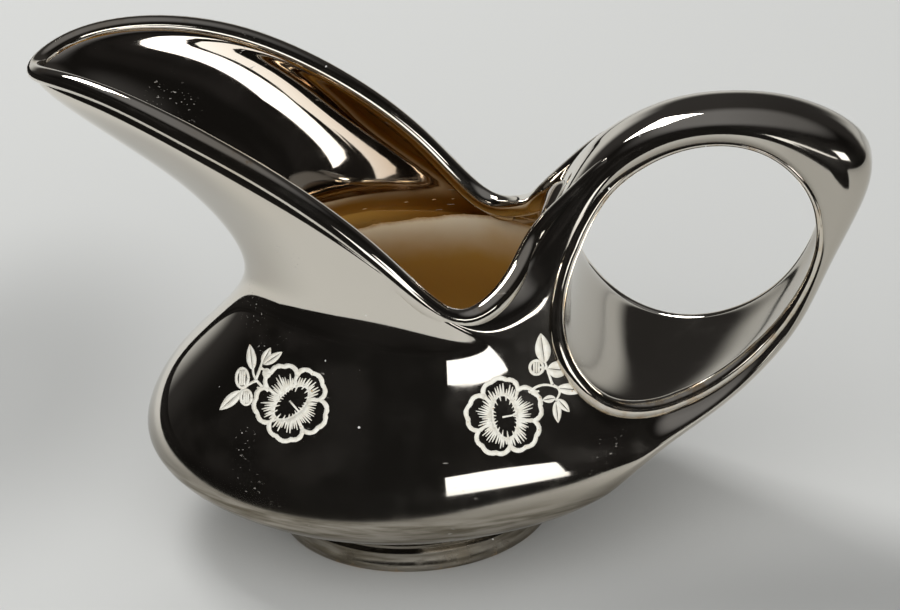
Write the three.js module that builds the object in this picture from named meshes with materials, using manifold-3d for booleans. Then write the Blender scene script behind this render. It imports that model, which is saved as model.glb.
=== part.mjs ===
// Lustred earthenware creamer: a low oval bowl drawn up into a long beak, a rolled rim round the
// sloping mouth, a strap handle that loops from the rim back into the bowl's tail, and a turned foot.
import * as THREE from 'three';
import * as BufferGeometryUtils from 'three/addons/utils/BufferGeometryUtils.js';
import Module from 'manifold-3d';

const wasm = await Module();
wasm.setup();

// Sizes in millimetres and angles in degrees, from the foot's axis: -X to the lip, +X to the handle
const CLEARANCE = 0.3;
const WALL = 3.2;
const FLOOR = 4;
const FLOOR_RADIUS = 20.5;

const FOOT_RADIUS = 28.3;
const FOOT_HEIGHT = 5.4;
const FOOT_WIDTH = 4.6;
const FOOT_STEP = 0.9;
const FOOT_SPLAY = 3;
const FOOT_BAND = 1.3;
const FOOT_GROOVE = 0.7;
const FOOT_CHAMFER = 0.6;
const FOOT_SEGMENTS = 48;

const BELLY_REACH = 57;
const BELLY_HALF_WIDTH = 46.6;
const BELLY_RISE = 10.8;
const BELLY_LIFT = 3.6;

const NECK_CENTRE = 4;
const NECK_REACH = 32.6;
const NECK_HALF_WIDTH = 30.5;
const NECK_EGG = 0.2;
const NECK_RISE = 35;
const NECK_TILT = 4.4;

const BEAD_RADIUS = 2.3;
const BEAD_SIDES = 12;
const RIM_SMOOTHING = 2;
const GLAZE = 0.6;
const GLAZE_DROP = 0.5;

const HOLE_X = 57.4;
const HOLE_RISE = 7.6;
const HOLE_LONG = 28.9;
const HOLE_SHORT = 22.5;
const HOLE_TILT = 48;
const EDGE_ROLL = 2.2;
const SCOOP = 1;

const TAIL_REACH = 45.6;
const TAIL_HALF_WIDTH = 30.6;
const TAIL_RISE = 4.6;

// Heights stacked from the table: the cast bottom on the foot, the belly at its sides, the neck and
// the handle's hole. The belly's widest line lifts towards the lip.
const BOTTOM_Z = FOOT_HEIGHT + CLEARANCE;
const BELLY_Z = BOTTOM_Z + BELLY_RISE;
const NECK_Z = BELLY_Z + NECK_RISE;
const HOLE_Z = NECK_Z + HOLE_RISE;

// The rim's outer edge from the lip to the handle: distance along X, half width and rise above the neck
const RIM_GUIDE = [
  [-73.5, 0, 43.7], [-67, 11.2, 47.3], [-53, 20.4, 47.1], [-35, 28.4, 41.5],
  [-16, 31, 31.5], [1, 32, 18], [14, 29.4, 3.9], [21.6, 22.6, 5.9],
  [26, 15, 11], [28.8, 9.8, 15.3], [31.8, 5.2, 19.3], [33.8, 0, 21.5],
];
// The strap from the tail to the rim: angle round the hole, thickness, half width inside and outside
const STRAP_STATIONS = [
  [-102, 8.2, 21.2, 27.6], [-80, 4.6, 17.4, 21], [-55, 3.6, 13.6, 14.4], [-28, 3.2, 10.4, 10.6],
  [0, 3.2, 8.8, 8.2], [18, 8.4, 8.2, 7.8], [34, 14.2, 8, 8.4], [53, 9.6, 7.8, 8],
  [72, 6.4, 7.4, 7.6], [96, 6.6, 7.4, 7.6], [124, 6.4, 8.4, 8.4], [143, 6, 11.2, 10.6],
];
// The stations where the handle is luted to the bowl's tail and to the root below the rim
const TAIL_JOINT = 0;
const RIM_JOINT = 10;
// The strap's half section. Hollow face: shares of the scoop and of the inside width, and rolls to add.
// Side: shares of the thickness and of the way to the outside width, and rolls to add.
// Outer face: shares of the thickness and of the outside width.
const HOLLOW_FACE = [[1, 0, 0], [0.85, 0.5, 0], [0.35, 1, -1], [0, 1, 0]];
const SIDE_FACE = [[0.2, 0, 0.3], [0.52, 0.5, 0.4]];
const OUTER_FACE = [[0.82, 0.88], [0.96, 0.58], [1, 0.28], [1, 0]];
// Where the hole's rolled edge runs on the bowl, from the tail up to the rim: angle and half width
const BOWL_EDGE = [[236, 24], [207, 23.4], [180, 17.4]];

// Columns of the half cage: the lip, six down the near side, the roll, the hole's edge, three to the back
const SIDE_COLUMNS = 7;
const ROLL_COLUMN = 7;
const EDGE_COLUMN = 8;
const BACK_COLUMN = 11;
const SIDE_STEP = 21.4;
const ROLL_SHARE = 0.62;
const BACK_SHARES = [0.82, 0.42, 0];
// Rows of the half cage, from the foot to the rim
const FOOT_ROW = 0;
const UNDER_ROW = 1;
const TUCK_ROW = 2;
const SADDLE_ROW = 5;
const ROOT_ROW = 7;
const RIM_ROW = 10;
// Shares of the way, in plan and in height: foot to belly, belly to neck, and the flare's two handles
const UNDER_SHARES = [[0.4, 0.42], [0.88, 0.87]];
const SHOULDER_SHARES = [[0.01, 0.04], [0.2, 0.36], [0.6, 0.63]];
const FLARE_FROM_NECK = [0.02, 0.42];
const FLARE_FROM_RIM = [0.14, 0.26];
const FLARE_STEPS = [0.36, 0.62, 0.85];
// How far the back's rows swell along X and sag at the middle of the tail
const BACK_SWELL = [[UNDER_ROW, 3, 2], [TUCK_ROW, 4, 2.4], [SADDLE_ROW, 2, 3]];

const vec = (x, y, z) => new THREE.Vector3(x, y, z);
const mirrored = (p) => vec(p.x, -p.y, p.z);
const radians = THREE.MathUtils.degToRad;

function blend(a, b, plan, rise = plan) {
  return vec(a.x + (b.x - a.x) * plan, a.y + (b.y - a.y) * plan, a.z + (b.z - a.z) * rise);
}

// Guide curves

function holePoint(angle, halfWidth) {
  const turn = radians(angle - HOLE_TILT);
  const reach = 1 / Math.hypot(Math.cos(turn) / HOLE_LONG, Math.sin(turn) / HOLE_SHORT);
  const x = HOLE_X + reach * Math.cos(radians(angle));
  const z = HOLE_Z + reach * Math.sin(radians(angle));
  return vec(x, -halfWidth, z);
}

function holeNormal(angle) {
  const turn = radians(angle - HOLE_TILT);
  const normal = Math.atan2(Math.sin(turn) / HOLE_SHORT ** 2, Math.cos(turn) / HOLE_LONG ** 2);
  return vec(Math.cos(normal + radians(HOLE_TILT)), 0, Math.sin(normal + radians(HOLE_TILT)));
}

function footPoint(column) {
  const angle = Math.PI * column / BACK_COLUMN;
  const radius = FOOT_RADIUS - FOOT_STEP;
  return vec(-radius * Math.cos(angle), -radius * Math.sin(angle), BOTTOM_Z);
}

function bellyPoint(column) {
  const angle = radians(SIDE_STEP * column);
  const lift = BELLY_LIFT * Math.cos(angle) ** 2;
  return vec(-BELLY_REACH * Math.cos(angle), -BELLY_HALF_WIDTH * Math.sin(angle), BELLY_Z + lift);
}

function neckPoint(column) {
  const angle = radians(SIDE_STEP * column);
  const halfWidth = NECK_HALF_WIDTH * Math.sin(angle) * (1 - NECK_EGG * Math.cos(angle));
  const rise = NECK_TILT * Math.cos(angle);
  return vec(NECK_CENTRE - NECK_REACH * Math.cos(angle), -halfWidth, NECK_Z + rise);
}

function rimPoint(column) {
  const [x, halfWidth, rise] = RIM_GUIDE[column];
  return vec(x, -halfWidth, NECK_Z + rise);
}

// Rows of one column from the foot up: tucked underside, belly, shoulder, neck and flare to the rim
function sideColumn(foot, belly, neck, rim) {
  const low = blend(neck, rim, ...FLARE_FROM_NECK);
  const high = blend(rim, neck, ...FLARE_FROM_RIM);
  const flare = new THREE.CubicBezierCurve3(neck, low, high, rim);
  return [
    foot,
    ...UNDER_SHARES.map(([plan, rise]) => blend(foot, belly, plan, rise)),
    ...SHOULDER_SHARES.map(([plan, rise]) => blend(belly, neck, plan, rise)),
    neck,
    ...FLARE_STEPS.map((step) => flare.getPoint(step)),
    rim,
  ];
}

// The column along the hole's rolled edge, from the foot past the tail's outer edge up to the rim
function edgeColumn() {
  const tail = vec(TAIL_REACH, -TAIL_HALF_WIDTH, BELLY_Z + TAIL_RISE);
  const [saddle, neck, root] = BOWL_EDGE.map(([angle, halfWidth]) => holePoint(angle, halfWidth));
  const rim = rimPoint(EDGE_COLUMN);
  const rows = sideColumn(footPoint(EDGE_COLUMN), tail, neck, rim);
  rows[SADDLE_ROW] = saddle;
  rows[ROOT_ROW] = root;
  for (let row = ROOT_ROW + 1; row < RIM_ROW; row++) {
    rows[row] = blend(root, rim, (row - ROOT_ROW) / (RIM_ROW - ROOT_ROW));
  }
  return rows;
}

// The near half of the bowl's cage, as columns of rows, with its back closed behind the handle's roots.
// The tail's swell is on the outside alone.
function bowlColumns(swell) {
  const columns = [];
  for (let column = 0; column < SIDE_COLUMNS; column++) {
    columns.push(sideColumn(footPoint(column), bellyPoint(column), neckPoint(column), rimPoint(column)));
  }
  const edge = edgeColumn();
  const last = columns[SIDE_COLUMNS - 1];
  columns[ROLL_COLUMN] = edge.map((point, row) => blend(last[row], point, ROLL_SHARE));
  columns[ROLL_COLUMN][FOOT_ROW] = footPoint(ROLL_COLUMN);
  columns[ROLL_COLUMN][RIM_ROW] = rimPoint(ROLL_COLUMN);
  columns[EDGE_COLUMN] = edge;
  BACK_SHARES.forEach((share, i) => {
    const column = EDGE_COLUMN + 1 + i;
    const rows = edge.map((point) => vec(point.x + SCOOP, point.y * share, point.z));
    const amount = swell * (1 - share);
    BACK_SWELL.forEach(([row, out, sag]) => rows[row].addScaledVector(vec(out, 0, -sag), amount));
    rows[FOOT_ROW] = footPoint(column);
    rows[RIM_ROW] = rimPoint(column);
    columns[column] = rows;
  });
  return columns;
}

// One half section of the strap: hollow inner face, rolled edge, side and rounded outer face
function strapSection([angle, thickness, inside, outside]) {
  const normal = holeNormal(angle);
  const at = (depth, halfWidth) => holePoint(angle, halfWidth).addScaledVector(normal, depth);
  const toOutside = outside - inside;
  return [
    ...HOLLOW_FACE.map(([deep, wide, rolls]) => at(SCOOP * deep, inside * wide + EDGE_ROLL * rolls)),
    ...SIDE_FACE.map(([deep, wide, rolls]) => (
      at(thickness * deep, inside + toOutside * wide + EDGE_ROLL * rolls)
    )),
    ...OUTER_FACE.map(([deep, wide]) => at(thickness * deep, outside * wide)),
  ];
}

// Cage of points and four-sided faces, made whole by mirroring the near half

class Cage {
  constructor() {
    this.points = [];
    this.faces = [];
  }

  add(point) {
    if (Math.abs(point.y) < 1e-9) {
      const middle = this.points.push(point) - 1;
      return [middle, middle];
    }
    return [this.points.push(point) - 1, this.points.push(mirrored(point)) - 1];
  }

  quad(a, b, c, d) {
    this.faces.push([a[0], b[0], c[0], d[0]], [d[1], c[1], b[1], a[1]]);
  }

  strip(from, to) {
    for (let i = 0; i + 1 < from.length; i++) this.quad(from[i + 1], to[i + 1], to[i], from[i]);
  }
}

// One step of Catmull-Clark subdivision, with open edges kept as smooth curves
function subdivide({ points, faces }) {
  const edges = new Map();
  const around = points.map(() => ({
    faces: vec(0, 0, 0),
    mids: vec(0, 0, 0),
    rim: vec(0, 0, 0),
    count: 0,
    open: 0,
  }));
  const centres = faces.map((face) => {
    const centre = vec(0, 0, 0);
    face.forEach((id) => centre.addScaledVector(points[id], 1 / face.length));
    face.forEach((id, i) => {
      const next = face[(i + 1) % face.length];
      const key = id < next ? `${id},${next}` : `${next},${id}`;
      if (!edges.has(key)) edges.set(key, { ends: [id, next], sum: vec(0, 0, 0), uses: 0 });
      const edge = edges.get(key);
      edge.sum.add(centre);
      edge.uses++;
      around[id].faces.add(centre);
      around[id].count++;
    });
    return centre;
  });
  const refined = { points: points.map((p) => p.clone()), faces: [] };
  const centreIds = centres.map((centre) => refined.points.push(centre) - 1);
  for (const edge of edges.values()) {
    const [a, b] = edge.ends;
    const mid = points[a].clone().lerp(points[b], 0.5);
    const open = edge.uses === 1;
    const point = open ? mid.clone() : mid.clone().multiplyScalar(2).add(edge.sum).divideScalar(4);
    edge.id = refined.points.push(point) - 1;
    edge.ends.forEach((id) => {
      around[id].mids.add(mid);
      if (open) {
        around[id].rim.add(mid);
        around[id].open++;
      }
    });
  }
  points.forEach((point, id) => {
    const { faces: sum, mids, rim, count, open } = around[id];
    const moved = refined.points[id];
    if (open) {
      moved.add(rim.divideScalar(open)).divideScalar(2);
    } else {
      moved.multiplyScalar(count - 3).addScaledVector(sum, 1 / count).addScaledVector(mids, 2 / count);
      moved.divideScalar(count);
    }
  });
  const edgeId = (a, b) => edges.get(a < b ? `${a},${b}` : `${b},${a}`).id;
  faces.forEach((face, f) => {
    face.forEach((id, i) => {
      const next = face[(i + 1) % face.length];
      const before = face[(i + face.length - 1) % face.length];
      refined.faces.push([id, edgeId(id, next), centreIds[f], edgeId(before, id)]);
    });
  });
  return refined;
}

// Closed line through the near points and their mirror images, smoothed as an open edge is
function smoothLoop(nearPoints, steps) {
  let loop = [...nearPoints, ...nearPoints.slice(1, -1).reverse().map(mirrored)];
  for (let step = 0; step < steps; step++) {
    loop = loop.flatMap((point, i) => {
      const before = loop[(i + loop.length - 1) % loop.length];
      const after = loop[(i + 1) % loop.length];
      const moved = point.clone().multiplyScalar(6).add(before).add(after).divideScalar(8);
      return [moved, point.clone().lerp(after, 0.5)];
    });
  }
  return loop;
}

// Solids

function solidFrom(positions, triangles) {
  const mesh = new wasm.Mesh({
    numProp: 3,
    vertProperties: new Float32Array(positions),
    triVerts: new Uint32Array(triangles),
  });
  return new wasm.Manifold(mesh);
}

// A cage's surface with its open edges closed by fans, as a solid
function solidFromCage({ points, faces }) {
  const triangles = faces.flatMap(([a, b, c, d]) => [a, b, c, a, c, d]);
  const nextOnEdge = new Map();
  const paired = new Set(faces.flatMap((face) => face.map((id, i) => `${id},${face[(i + 1) % 4]}`)));
  faces.forEach((face) => face.forEach((id, i) => {
    const next = face[(i + 1) % 4];
    if (!paired.has(`${next},${id}`)) nextOnEdge.set(next, id);
  }));
  const all = [...points];
  while (nextOnEdge.size) {
    const loop = [nextOnEdge.keys().next().value];
    while (nextOnEdge.has(loop.at(-1))) {
      const here = loop.at(-1);
      loop.push(nextOnEdge.get(here));
      nextOnEdge.delete(here);
    }
    loop.pop();
    const centre = vec(0, 0, 0);
    loop.forEach((id) => centre.addScaledVector(points[id], 1 / loop.length));
    const hub = all.push(centre) - 1;
    loop.forEach((id, i) => triangles.push(id, loop[(i + 1) % loop.length], hub));
  }
  return solidFrom(all.flatMap((p) => [p.x, p.y, p.z]), triangles);
}

function solidFromGeometry(geometry) {
  geometry.deleteAttribute('normal');
  geometry.deleteAttribute('uv');
  const merged = BufferGeometryUtils.mergeVertices(geometry, 1e-4);
  return solidFrom(merged.attributes.position.array, merged.index.array);
}

function geometryFromSolid(solid) {
  const { vertProperties, triVerts, numProp } = solid.getMesh();
  const positions = [];
  for (let i = 0; i < vertProperties.length; i += numProp) {
    positions.push(...vertProperties.slice(i, i + 3));
  }
  const geometry = new THREE.BufferGeometry();
  geometry.setAttribute('position', new THREE.Float32BufferAttribute(positions, 3));
  geometry.setIndex([...triVerts]);
  return geometry;
}

// Bowl, beak and handle as one cast form, still without its hollow
function castForm(columns) {
  const cage = new Cage();
  const tailRows = [TUCK_ROW, SADDLE_ROW];
  const rootRows = [ROOT_ROW, RIM_ROW];
  const insideRoot = (row) => [tailRows, rootRows].some(([low, high]) => row > low && row < high);
  const ids = columns.map((rows, column) => rows.map((point, row) => (
    column > EDGE_COLUMN && insideRoot(row) ? null : cage.add(point)
  )));
  for (let column = 0; column < BACK_COLUMN; column++) {
    for (let row = 0; row < RIM_ROW; row++) {
      const inTail = row >= TUCK_ROW && row < SADDLE_ROW;
      const inRoot = row >= ROOT_ROW;
      if (column >= EDGE_COLUMN && (inTail || inRoot)) continue;
      cage.quad(ids[column][row], ids[column + 1][row], ids[column + 1][row + 1], ids[column][row + 1]);
    }
  }
  const rootRing = (inner, outer) => {
    const back = ids.slice(EDGE_COLUMN);
    const step = Math.sign(outer - inner);
    const side = [];
    for (let row = inner + step; row !== outer; row += step) side.push(ids[EDGE_COLUMN][row]);
    return [...back.map((rows) => rows[inner]).reverse(), ...side, ...back.map((rows) => rows[outer])];
  };
  const rings = [
    rootRing(SADDLE_ROW, TUCK_ROW),
    ...STRAP_STATIONS.map((station) => strapSection(station).map((point) => cage.add(point))),
    rootRing(ROOT_ROW, RIM_ROW),
  ];
  for (let i = 0; i + 1 < rings.length; i++) cage.strip(rings[i], rings[i + 1]);
  return solidFromCage(subdivide(cage));
}

// The bowl's columns moved inward from the outer surface, with a flat floor inside
function insetColumns(columns, inset) {
  const moved = columns.map((rows, column) => rows.map((point, row) => {
    const before = column > 0 ? columns[column - 1][row] : mirrored(columns[1][row]);
    const after = column < BACK_COLUMN ? columns[column + 1][row] : mirrored(columns[BACK_COLUMN - 1][row]);
    const below = rows[Math.max(row - 1, 0)];
    const above = rows[Math.min(row + 1, RIM_ROW)];
    const across = after.clone().sub(before);
    const up = above.clone().sub(below);
    const inward = up.cross(across).normalize();
    return point.clone().addScaledVector(inward, inset);
  }));
  return moved.map((rows, column) => {
    const middle = column === 0 || column === BACK_COLUMN;
    const eased = rows.map((point, row) => {
      if (middle || column < SIDE_COLUMNS) return point;
      const before = moved[column - 1][row];
      const after = moved[column + 1][row];
      return point.clone().multiplyScalar(2).add(before).add(after).divideScalar(4);
    });
    const floor = footPoint(column).setZ(0).setLength(FLOOR_RADIUS);
    eased[FOOT_ROW] = floor.setZ(BOTTOM_Z + FLOOR + inset - WALL);
    if (middle) eased.forEach((point) => point.setY(0));
    return eased;
  });
}

// The hollow of the bowl, drawn on upward past the mouth so that it cuts the rim open
function hollow(columns, overshoot) {
  const cage = new Cage();
  const ids = columns.map((rows) => {
    const top = rows[RIM_ROW];
    return [...rows, vec(top.x, top.y, top.z + overshoot), vec(top.x, top.y, top.z + 2 * overshoot)]
      .map((point) => cage.add(point));
  });
  for (let column = 0; column < BACK_COLUMN; column++) {
    for (let row = 0; row + 1 < ids[column].length; row++) {
      cage.quad(ids[column][row], ids[column + 1][row], ids[column + 1][row + 1], ids[column][row + 1]);
    }
  }
  return solidFromCage(subdivide(cage));
}

// A closed roll of round section along the middle of the rim
function rimRoll(centres, radius) {
  const path = new THREE.CatmullRomCurve3(centres, true);
  const up = vec(0, 0, 1);
  const positions = [];
  const triangles = [];
  centres.forEach((centre, i) => {
    const along = path.getTangent(i / centres.length);
    const across = along.clone().cross(up).normalize();
    const over = across.clone().cross(along).normalize();
    for (let side = 0; side < BEAD_SIDES; side++) {
      const angle = 2 * Math.PI * side / BEAD_SIDES;
      const point = centre.clone()
        .addScaledVector(across, radius * Math.cos(angle))
        .addScaledVector(over, radius * Math.sin(angle));
      positions.push(point.x, point.y, point.z);
    }
    for (let side = 0; side < BEAD_SIDES; side++) {
      const here = i * BEAD_SIDES;
      const there = ((i + 1) % centres.length) * BEAD_SIDES;
      const next = (side + 1) % BEAD_SIDES;
      triangles.push(here + side, there + next, here + next, here + side, there + side, there + next);
    }
  });
  return solidFrom(positions, triangles);
}

// Everything on the handle's side of the two joints across the strap
function handleSide(reach, shift) {
  const cut = ([angle, thickness], turn) => {
    const normal = holeNormal(angle);
    const along = vec(-normal.z, 0, normal.x).multiplyScalar(turn * shift);
    const inner = holePoint(angle, 0).addScaledVector(normal, -HOLE_SHORT / 2).add(along);
    const outer = holePoint(angle, 0).addScaledVector(normal, thickness + HOLE_SHORT).add(along);
    return [inner, outer];
  };
  const [tailInner, tailOuter] = cut(STRAP_STATIONS[TAIL_JOINT], 1);
  const [rimInner, rimOuter] = cut(STRAP_STATIONS[RIM_JOINT], -1);
  const far = HOLE_X + reach;
  const farSide = [vec(far, 0, tailOuter.z), vec(far, 0, rimOuter.z)];
  const corners = [tailInner, tailOuter, ...farSide, rimOuter, rimInner];
  const outline = new THREE.Shape(corners.map((p) => new THREE.Vector2(p.x, p.z)));
  const geometry = new THREE.ExtrudeGeometry(outline, { depth: 2 * reach, bevelEnabled: false });
  geometry.rotateX(Math.PI / 2).translate(0, reach, 0);
  return solidFromGeometry(geometry);
}

// The level below which the cream glaze shows inside
function belowGlazeLine(reach) {
  const geometry = new THREE.BoxGeometry(2 * reach, 2 * reach, 2 * (NECK_Z - GLAZE_DROP));
  return solidFromGeometry(geometry);
}

// The turned foot: a splayed band, a groove below the bowl and a flat underside
function footRing() {
  const inner = FOOT_RADIUS - FOOT_WIDTH;
  const band = FOOT_RADIUS - FOOT_STEP;
  const groove = band - FOOT_GROOVE;
  const grooveZ = FOOT_SPLAY + FOOT_BAND;
  const profile = [
    [inner, 0],
    [FOOT_RADIUS - FOOT_CHAMFER, 0],
    [FOOT_RADIUS, FOOT_CHAMFER],
    [band, FOOT_SPLAY],
    [band, grooveZ],
    [groove, grooveZ + CLEARANCE],
    [groove, FOOT_HEIGHT],
    [inner, FOOT_HEIGHT],
    [inner, 0],
  ];
  const outline = profile.map(([radius, z]) => new THREE.Vector2(radius, z));
  const geometry = new THREE.LatheGeometry(outline, FOOT_SEGMENTS);
  geometry.rotateX(Math.PI / 2);
  return solidFromGeometry(geometry);
}

// Pieces

const LUSTRE = { color: 0xb9b6ae, roughness: 0.08, metalness: 1 };
const CREAM = { color: 0xe6d9b8, roughness: 0.25, metalness: 0 };

const pot = new THREE.Group();

function addPiece(name, solid, finish) {
  const mesh = new THREE.Mesh(geometryFromSolid(solid), new THREE.MeshStandardMaterial(finish));
  mesh.name = name;
  pot.add(mesh);
}

const outerColumns = bowlColumns(1);
const plainColumns = bowlColumns(0);
const innerColumns = insetColumns(plainColumns, WALL);
const rimLoop = (columns) => smoothLoop(columns.map((rows) => rows[RIM_ROW]), RIM_SMOOTHING);
const innerRim = rimLoop(innerColumns);
const rimCentres = rimLoop(outerColumns).map((point, i) => point.lerp(innerRim[i], 0.5));

const form = castForm(outerColumns);
const reach = 2 * BELLY_REACH;
const shell = form.subtract(hollow(innerColumns, 2 * BEAD_RADIUS));
const groove = rimRoll(rimCentres, BEAD_RADIUS + CLEARANCE);
const body = shell.subtract(groove).subtract(handleSide(reach, 0));
const handle = form.intersect(handleSide(reach, CLEARANCE));

const coatOuter = hollow(insetColumns(plainColumns, WALL + CLEARANCE), 2 * BEAD_RADIUS);
const coatInner = hollow(insetColumns(plainColumns, WALL + CLEARANCE + GLAZE), 2 * BEAD_RADIUS);
const lining = coatOuter.subtract(coatInner).intersect(belowGlazeLine(reach));

addPiece('body', body, LUSTRE);
addPiece('handle', handle, LUSTRE);
addPiece('rim_bead', rimRoll(rimCentres, BEAD_RADIUS), LUSTRE);
addPiece('foot_ring', footRing(), LUSTRE);
addPiece('glaze_lining', lining, CREAM);

// The origin is on the table midway between the lip and the handle's outermost point
const box = new THREE.Box3().setFromObject(pot);
pot.position.x = -(box.min.x + box.max.x) / 2;

export default pot;
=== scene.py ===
"""Lustred pottery creamer: a low oval bowl drawn up into a long beak, with a rolled rim, a looped
strap handle, a turned foot, a cream glazed inside and two resist sprigs on each side."""

import math
import random

import bpy
from bpy.props import FloatProperty, FloatVectorProperty, IntProperty, PointerProperty
from mathutils import Matrix, Vector
from mathutils.bvhtree import BVHTree
from mathutils.kdtree import KDTree


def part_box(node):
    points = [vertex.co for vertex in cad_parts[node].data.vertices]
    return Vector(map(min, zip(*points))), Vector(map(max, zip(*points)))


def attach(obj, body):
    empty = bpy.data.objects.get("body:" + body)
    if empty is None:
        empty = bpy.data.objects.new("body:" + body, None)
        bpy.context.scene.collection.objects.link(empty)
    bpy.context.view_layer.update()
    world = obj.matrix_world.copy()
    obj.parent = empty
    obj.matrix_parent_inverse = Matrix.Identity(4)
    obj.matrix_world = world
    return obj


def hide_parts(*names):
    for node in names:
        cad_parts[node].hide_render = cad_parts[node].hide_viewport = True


bl_info = {
    "name": "Lustred Creamer",
    "version": (1, 0, 0),
    "blender": (4, 5, 0),
    "location": "View3D > Sidebar > Creamer",
    "description": "Builds a lustred pottery creamer around its packed CAD frame",
    "category": "Object",
}

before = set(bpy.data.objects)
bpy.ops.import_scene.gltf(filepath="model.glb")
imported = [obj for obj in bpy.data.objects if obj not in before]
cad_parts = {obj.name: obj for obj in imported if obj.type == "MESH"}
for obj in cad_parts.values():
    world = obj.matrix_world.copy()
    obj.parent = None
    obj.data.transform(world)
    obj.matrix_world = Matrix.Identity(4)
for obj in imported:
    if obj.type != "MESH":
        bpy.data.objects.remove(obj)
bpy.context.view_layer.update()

MM = 0.001
FOOT_LOW, FOOT_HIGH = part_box("foot_ring")
FOOT_X = (FOOT_LOW.x + FOOT_HIGH.x) / 2
FOOT_TOP = FOOT_HIGH.z / MM

# Guide sizes in millimetres and degrees from the foot's axis: -X to the lip, +X to the handle
CLEARANCE = 0.3
FOOT_RADIUS = (FOOT_HIGH.x - FOOT_LOW.x) / 2 / MM
FOOT_STEP = 0.9
FLOOR = 4
FLOOR_RADIUS = 20.5
FLOOR_RING = 10.25
BELLY_REACH = 57
BELLY_HALF_WIDTH = 46.6
BELLY_RISE = 10.8
BELLY_LIFT = 3.6
NECK_CENTRE = 4
NECK_REACH = 32.6
NECK_HALF_WIDTH = 30.5
NECK_EGG = 0.2
NECK_RISE = 35
NECK_TILT = 4.4
HOLE_X = 57.4
HOLE_RISE = 7.6
HOLE_LONG = 28.9
HOLE_SHORT = 22.5
HOLE_TILT = 48
# The hole's lower edge is filled by this much, and most at this angle
HOLE_FILL = 1.5
HOLE_FILL_AT = -60
EDGE_ROLL = 2.2
SCOOP = 1
TAIL_REACH = 45.6
TAIL_HALF_WIDTH = 30.6
TAIL_RISE = 4.6
BOTTOM_Z = FOOT_TOP + CLEARANCE
BELLY_Z = BOTTOM_Z + BELLY_RISE
NECK_Z = BELLY_Z + NECK_RISE
HOLE_Z = NECK_Z + HOLE_RISE

# Rim from the lip to the handle: distance along X, half width and rise above the neck
RIM_GUIDE = [
    (-73.5, 0, 43.7), (-67, 11.2, 47.3), (-53, 20.4, 47.1), (-35, 28.4, 41.5),
    (-16, 31, 31.5), (1, 32, 18), (14, 29.4, 3.9), (21.6, 22.6, 5.9),
    (26, 15, 11), (28.8, 9.8, 15.3), (31.8, 5.2, 19.3), (33.8, 0, 21.5),
]
# Strap from the tail to the rim: angle round the hole, thickness, half width inside and outside
STRAP_STATIONS = [
    (-102, 9, 19, 27.6), (-80, 5.9, 14.8, 21), (-55, 5.1, 11.2, 14.4), (-28, 4.3, 8.8, 10.6),
    (0, 3.2, 8.2, 8.2), (18, 7.2, 8.2, 7.8), (34, 16, 8, 8.4), (53, 9.8, 7.8, 8),
    (72, 6.4, 7.4, 7.6), (96, 6.6, 7.4, 7.6), (124, 6.4, 8.4, 8.4), (143, 6, 11.2, 10.6),
]
# Half section of the strap: hollow inner face, rolled side and outer face
HOLLOW_FACE = [(1, 0, 0), (0.85, 0.5, 0), (0.35, 1, -1), (0, 1, 0)]
SIDE_FACE = [(0.2, 0, 0.3), (0.52, 0.5, 0.4)]
OUTER_FACE = [(0.82, 0.88), (0.96, 0.58), (1, 0.28), (1, 0)]
# The hole's rolled edge on the bowl, from the tail up to the rim: angle and half width
BOWL_EDGE = [(236, 24), (207, 23.4), (180, 17.4)]

# Columns of the half cage from the lip to the back, and its rows from the foot to the rim
SIDE_COLUMNS, ROLL_COLUMN, EDGE_COLUMN, BACK_COLUMN = 7, 7, 8, 11
FOOT_ROW, UNDER_ROW, TUCK_ROW, SADDLE_ROW, ROOT_ROW, RIM_ROW = 0, 1, 2, 5, 7, 10
SIDE_STEP = 21.4
ROLL_SHARE = 0.62
BACK_SHARES = (0.82, 0.42, 0)
UNDER_SHARES = [(0.4, 0.42), (0.88, 0.87)]
SHOULDER_SHARES = [(0.01, 0.04), (0.2, 0.36), (0.6, 0.63)]
FLARE_FROM_NECK = (0.02, 0.42)
FLARE_FROM_RIM = (0.14, 0.26)
FLARE_STEPS = (0.36, 0.62, 0.85)
# How much thicker the wall is above the neck, by row, and the share of it that a column has
THROAT_FULLNESS = {7: -2.0, 8: -0.4, 9: 0.9, RIM_ROW: 1.8}
THROAT_COLUMNS = {1: 0.2, 2: 0.95, 3: 1.15, 4: 1.15, 5: 1.1, 6: 0.6}
# The tail's swell on the outside: row, how far out and how far down
BACK_SWELL = [(UNDER_ROW, 3, 2), (TUCK_ROW, 4, 2.4), (SADDLE_ROW, 2, 3)]

# The camera stands to the front, a little to the handle's side, and leans by the roll
VIEW_AZIMUTH, VIEW_ELEVATION, VIEW_ROLL = 8, 27, 3
VIEW_TARGET = Vector((9.2, -0.7, 46.1))
VIEW_DISTANCE = 650
VIEW_LENS = 130
SENSOR = 36


def radians(*degrees):
    return [math.radians(d) for d in degrees]


def fade(value, start, end):
    """From 0 at the start to 1 at the end, and level beyond them."""
    return max(0, min(1, (value - start) / (end - start)))


def heading(azimuth, elevation):
    """Unit vector to a place in the room, in degrees round from the front and up from the table."""
    azimuth, elevation = radians(azimuth, elevation)
    level = math.cos(elevation)
    return Vector((math.sin(azimuth) * level, -math.cos(azimuth) * level, math.sin(elevation)))


def place(point):
    """A point in millimetres from the foot's axis, in the shared frame in metres."""
    return Vector((point.x * MM + FOOT_X, point.y * MM, point.z * MM))


def unplace(point):
    """A point of the scene, in the millimetres of the guide sizes."""
    return Vector(((point.x - FOOT_X) / MM, point.y / MM, point.z / MM))


def mirrored(point):
    return Vector((point.x, -point.y, point.z))


def blend(a, b, plan, rise=None):
    rise = plan if rise is None else rise
    return a + (b - a) * Vector((plan, plan, rise))


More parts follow.
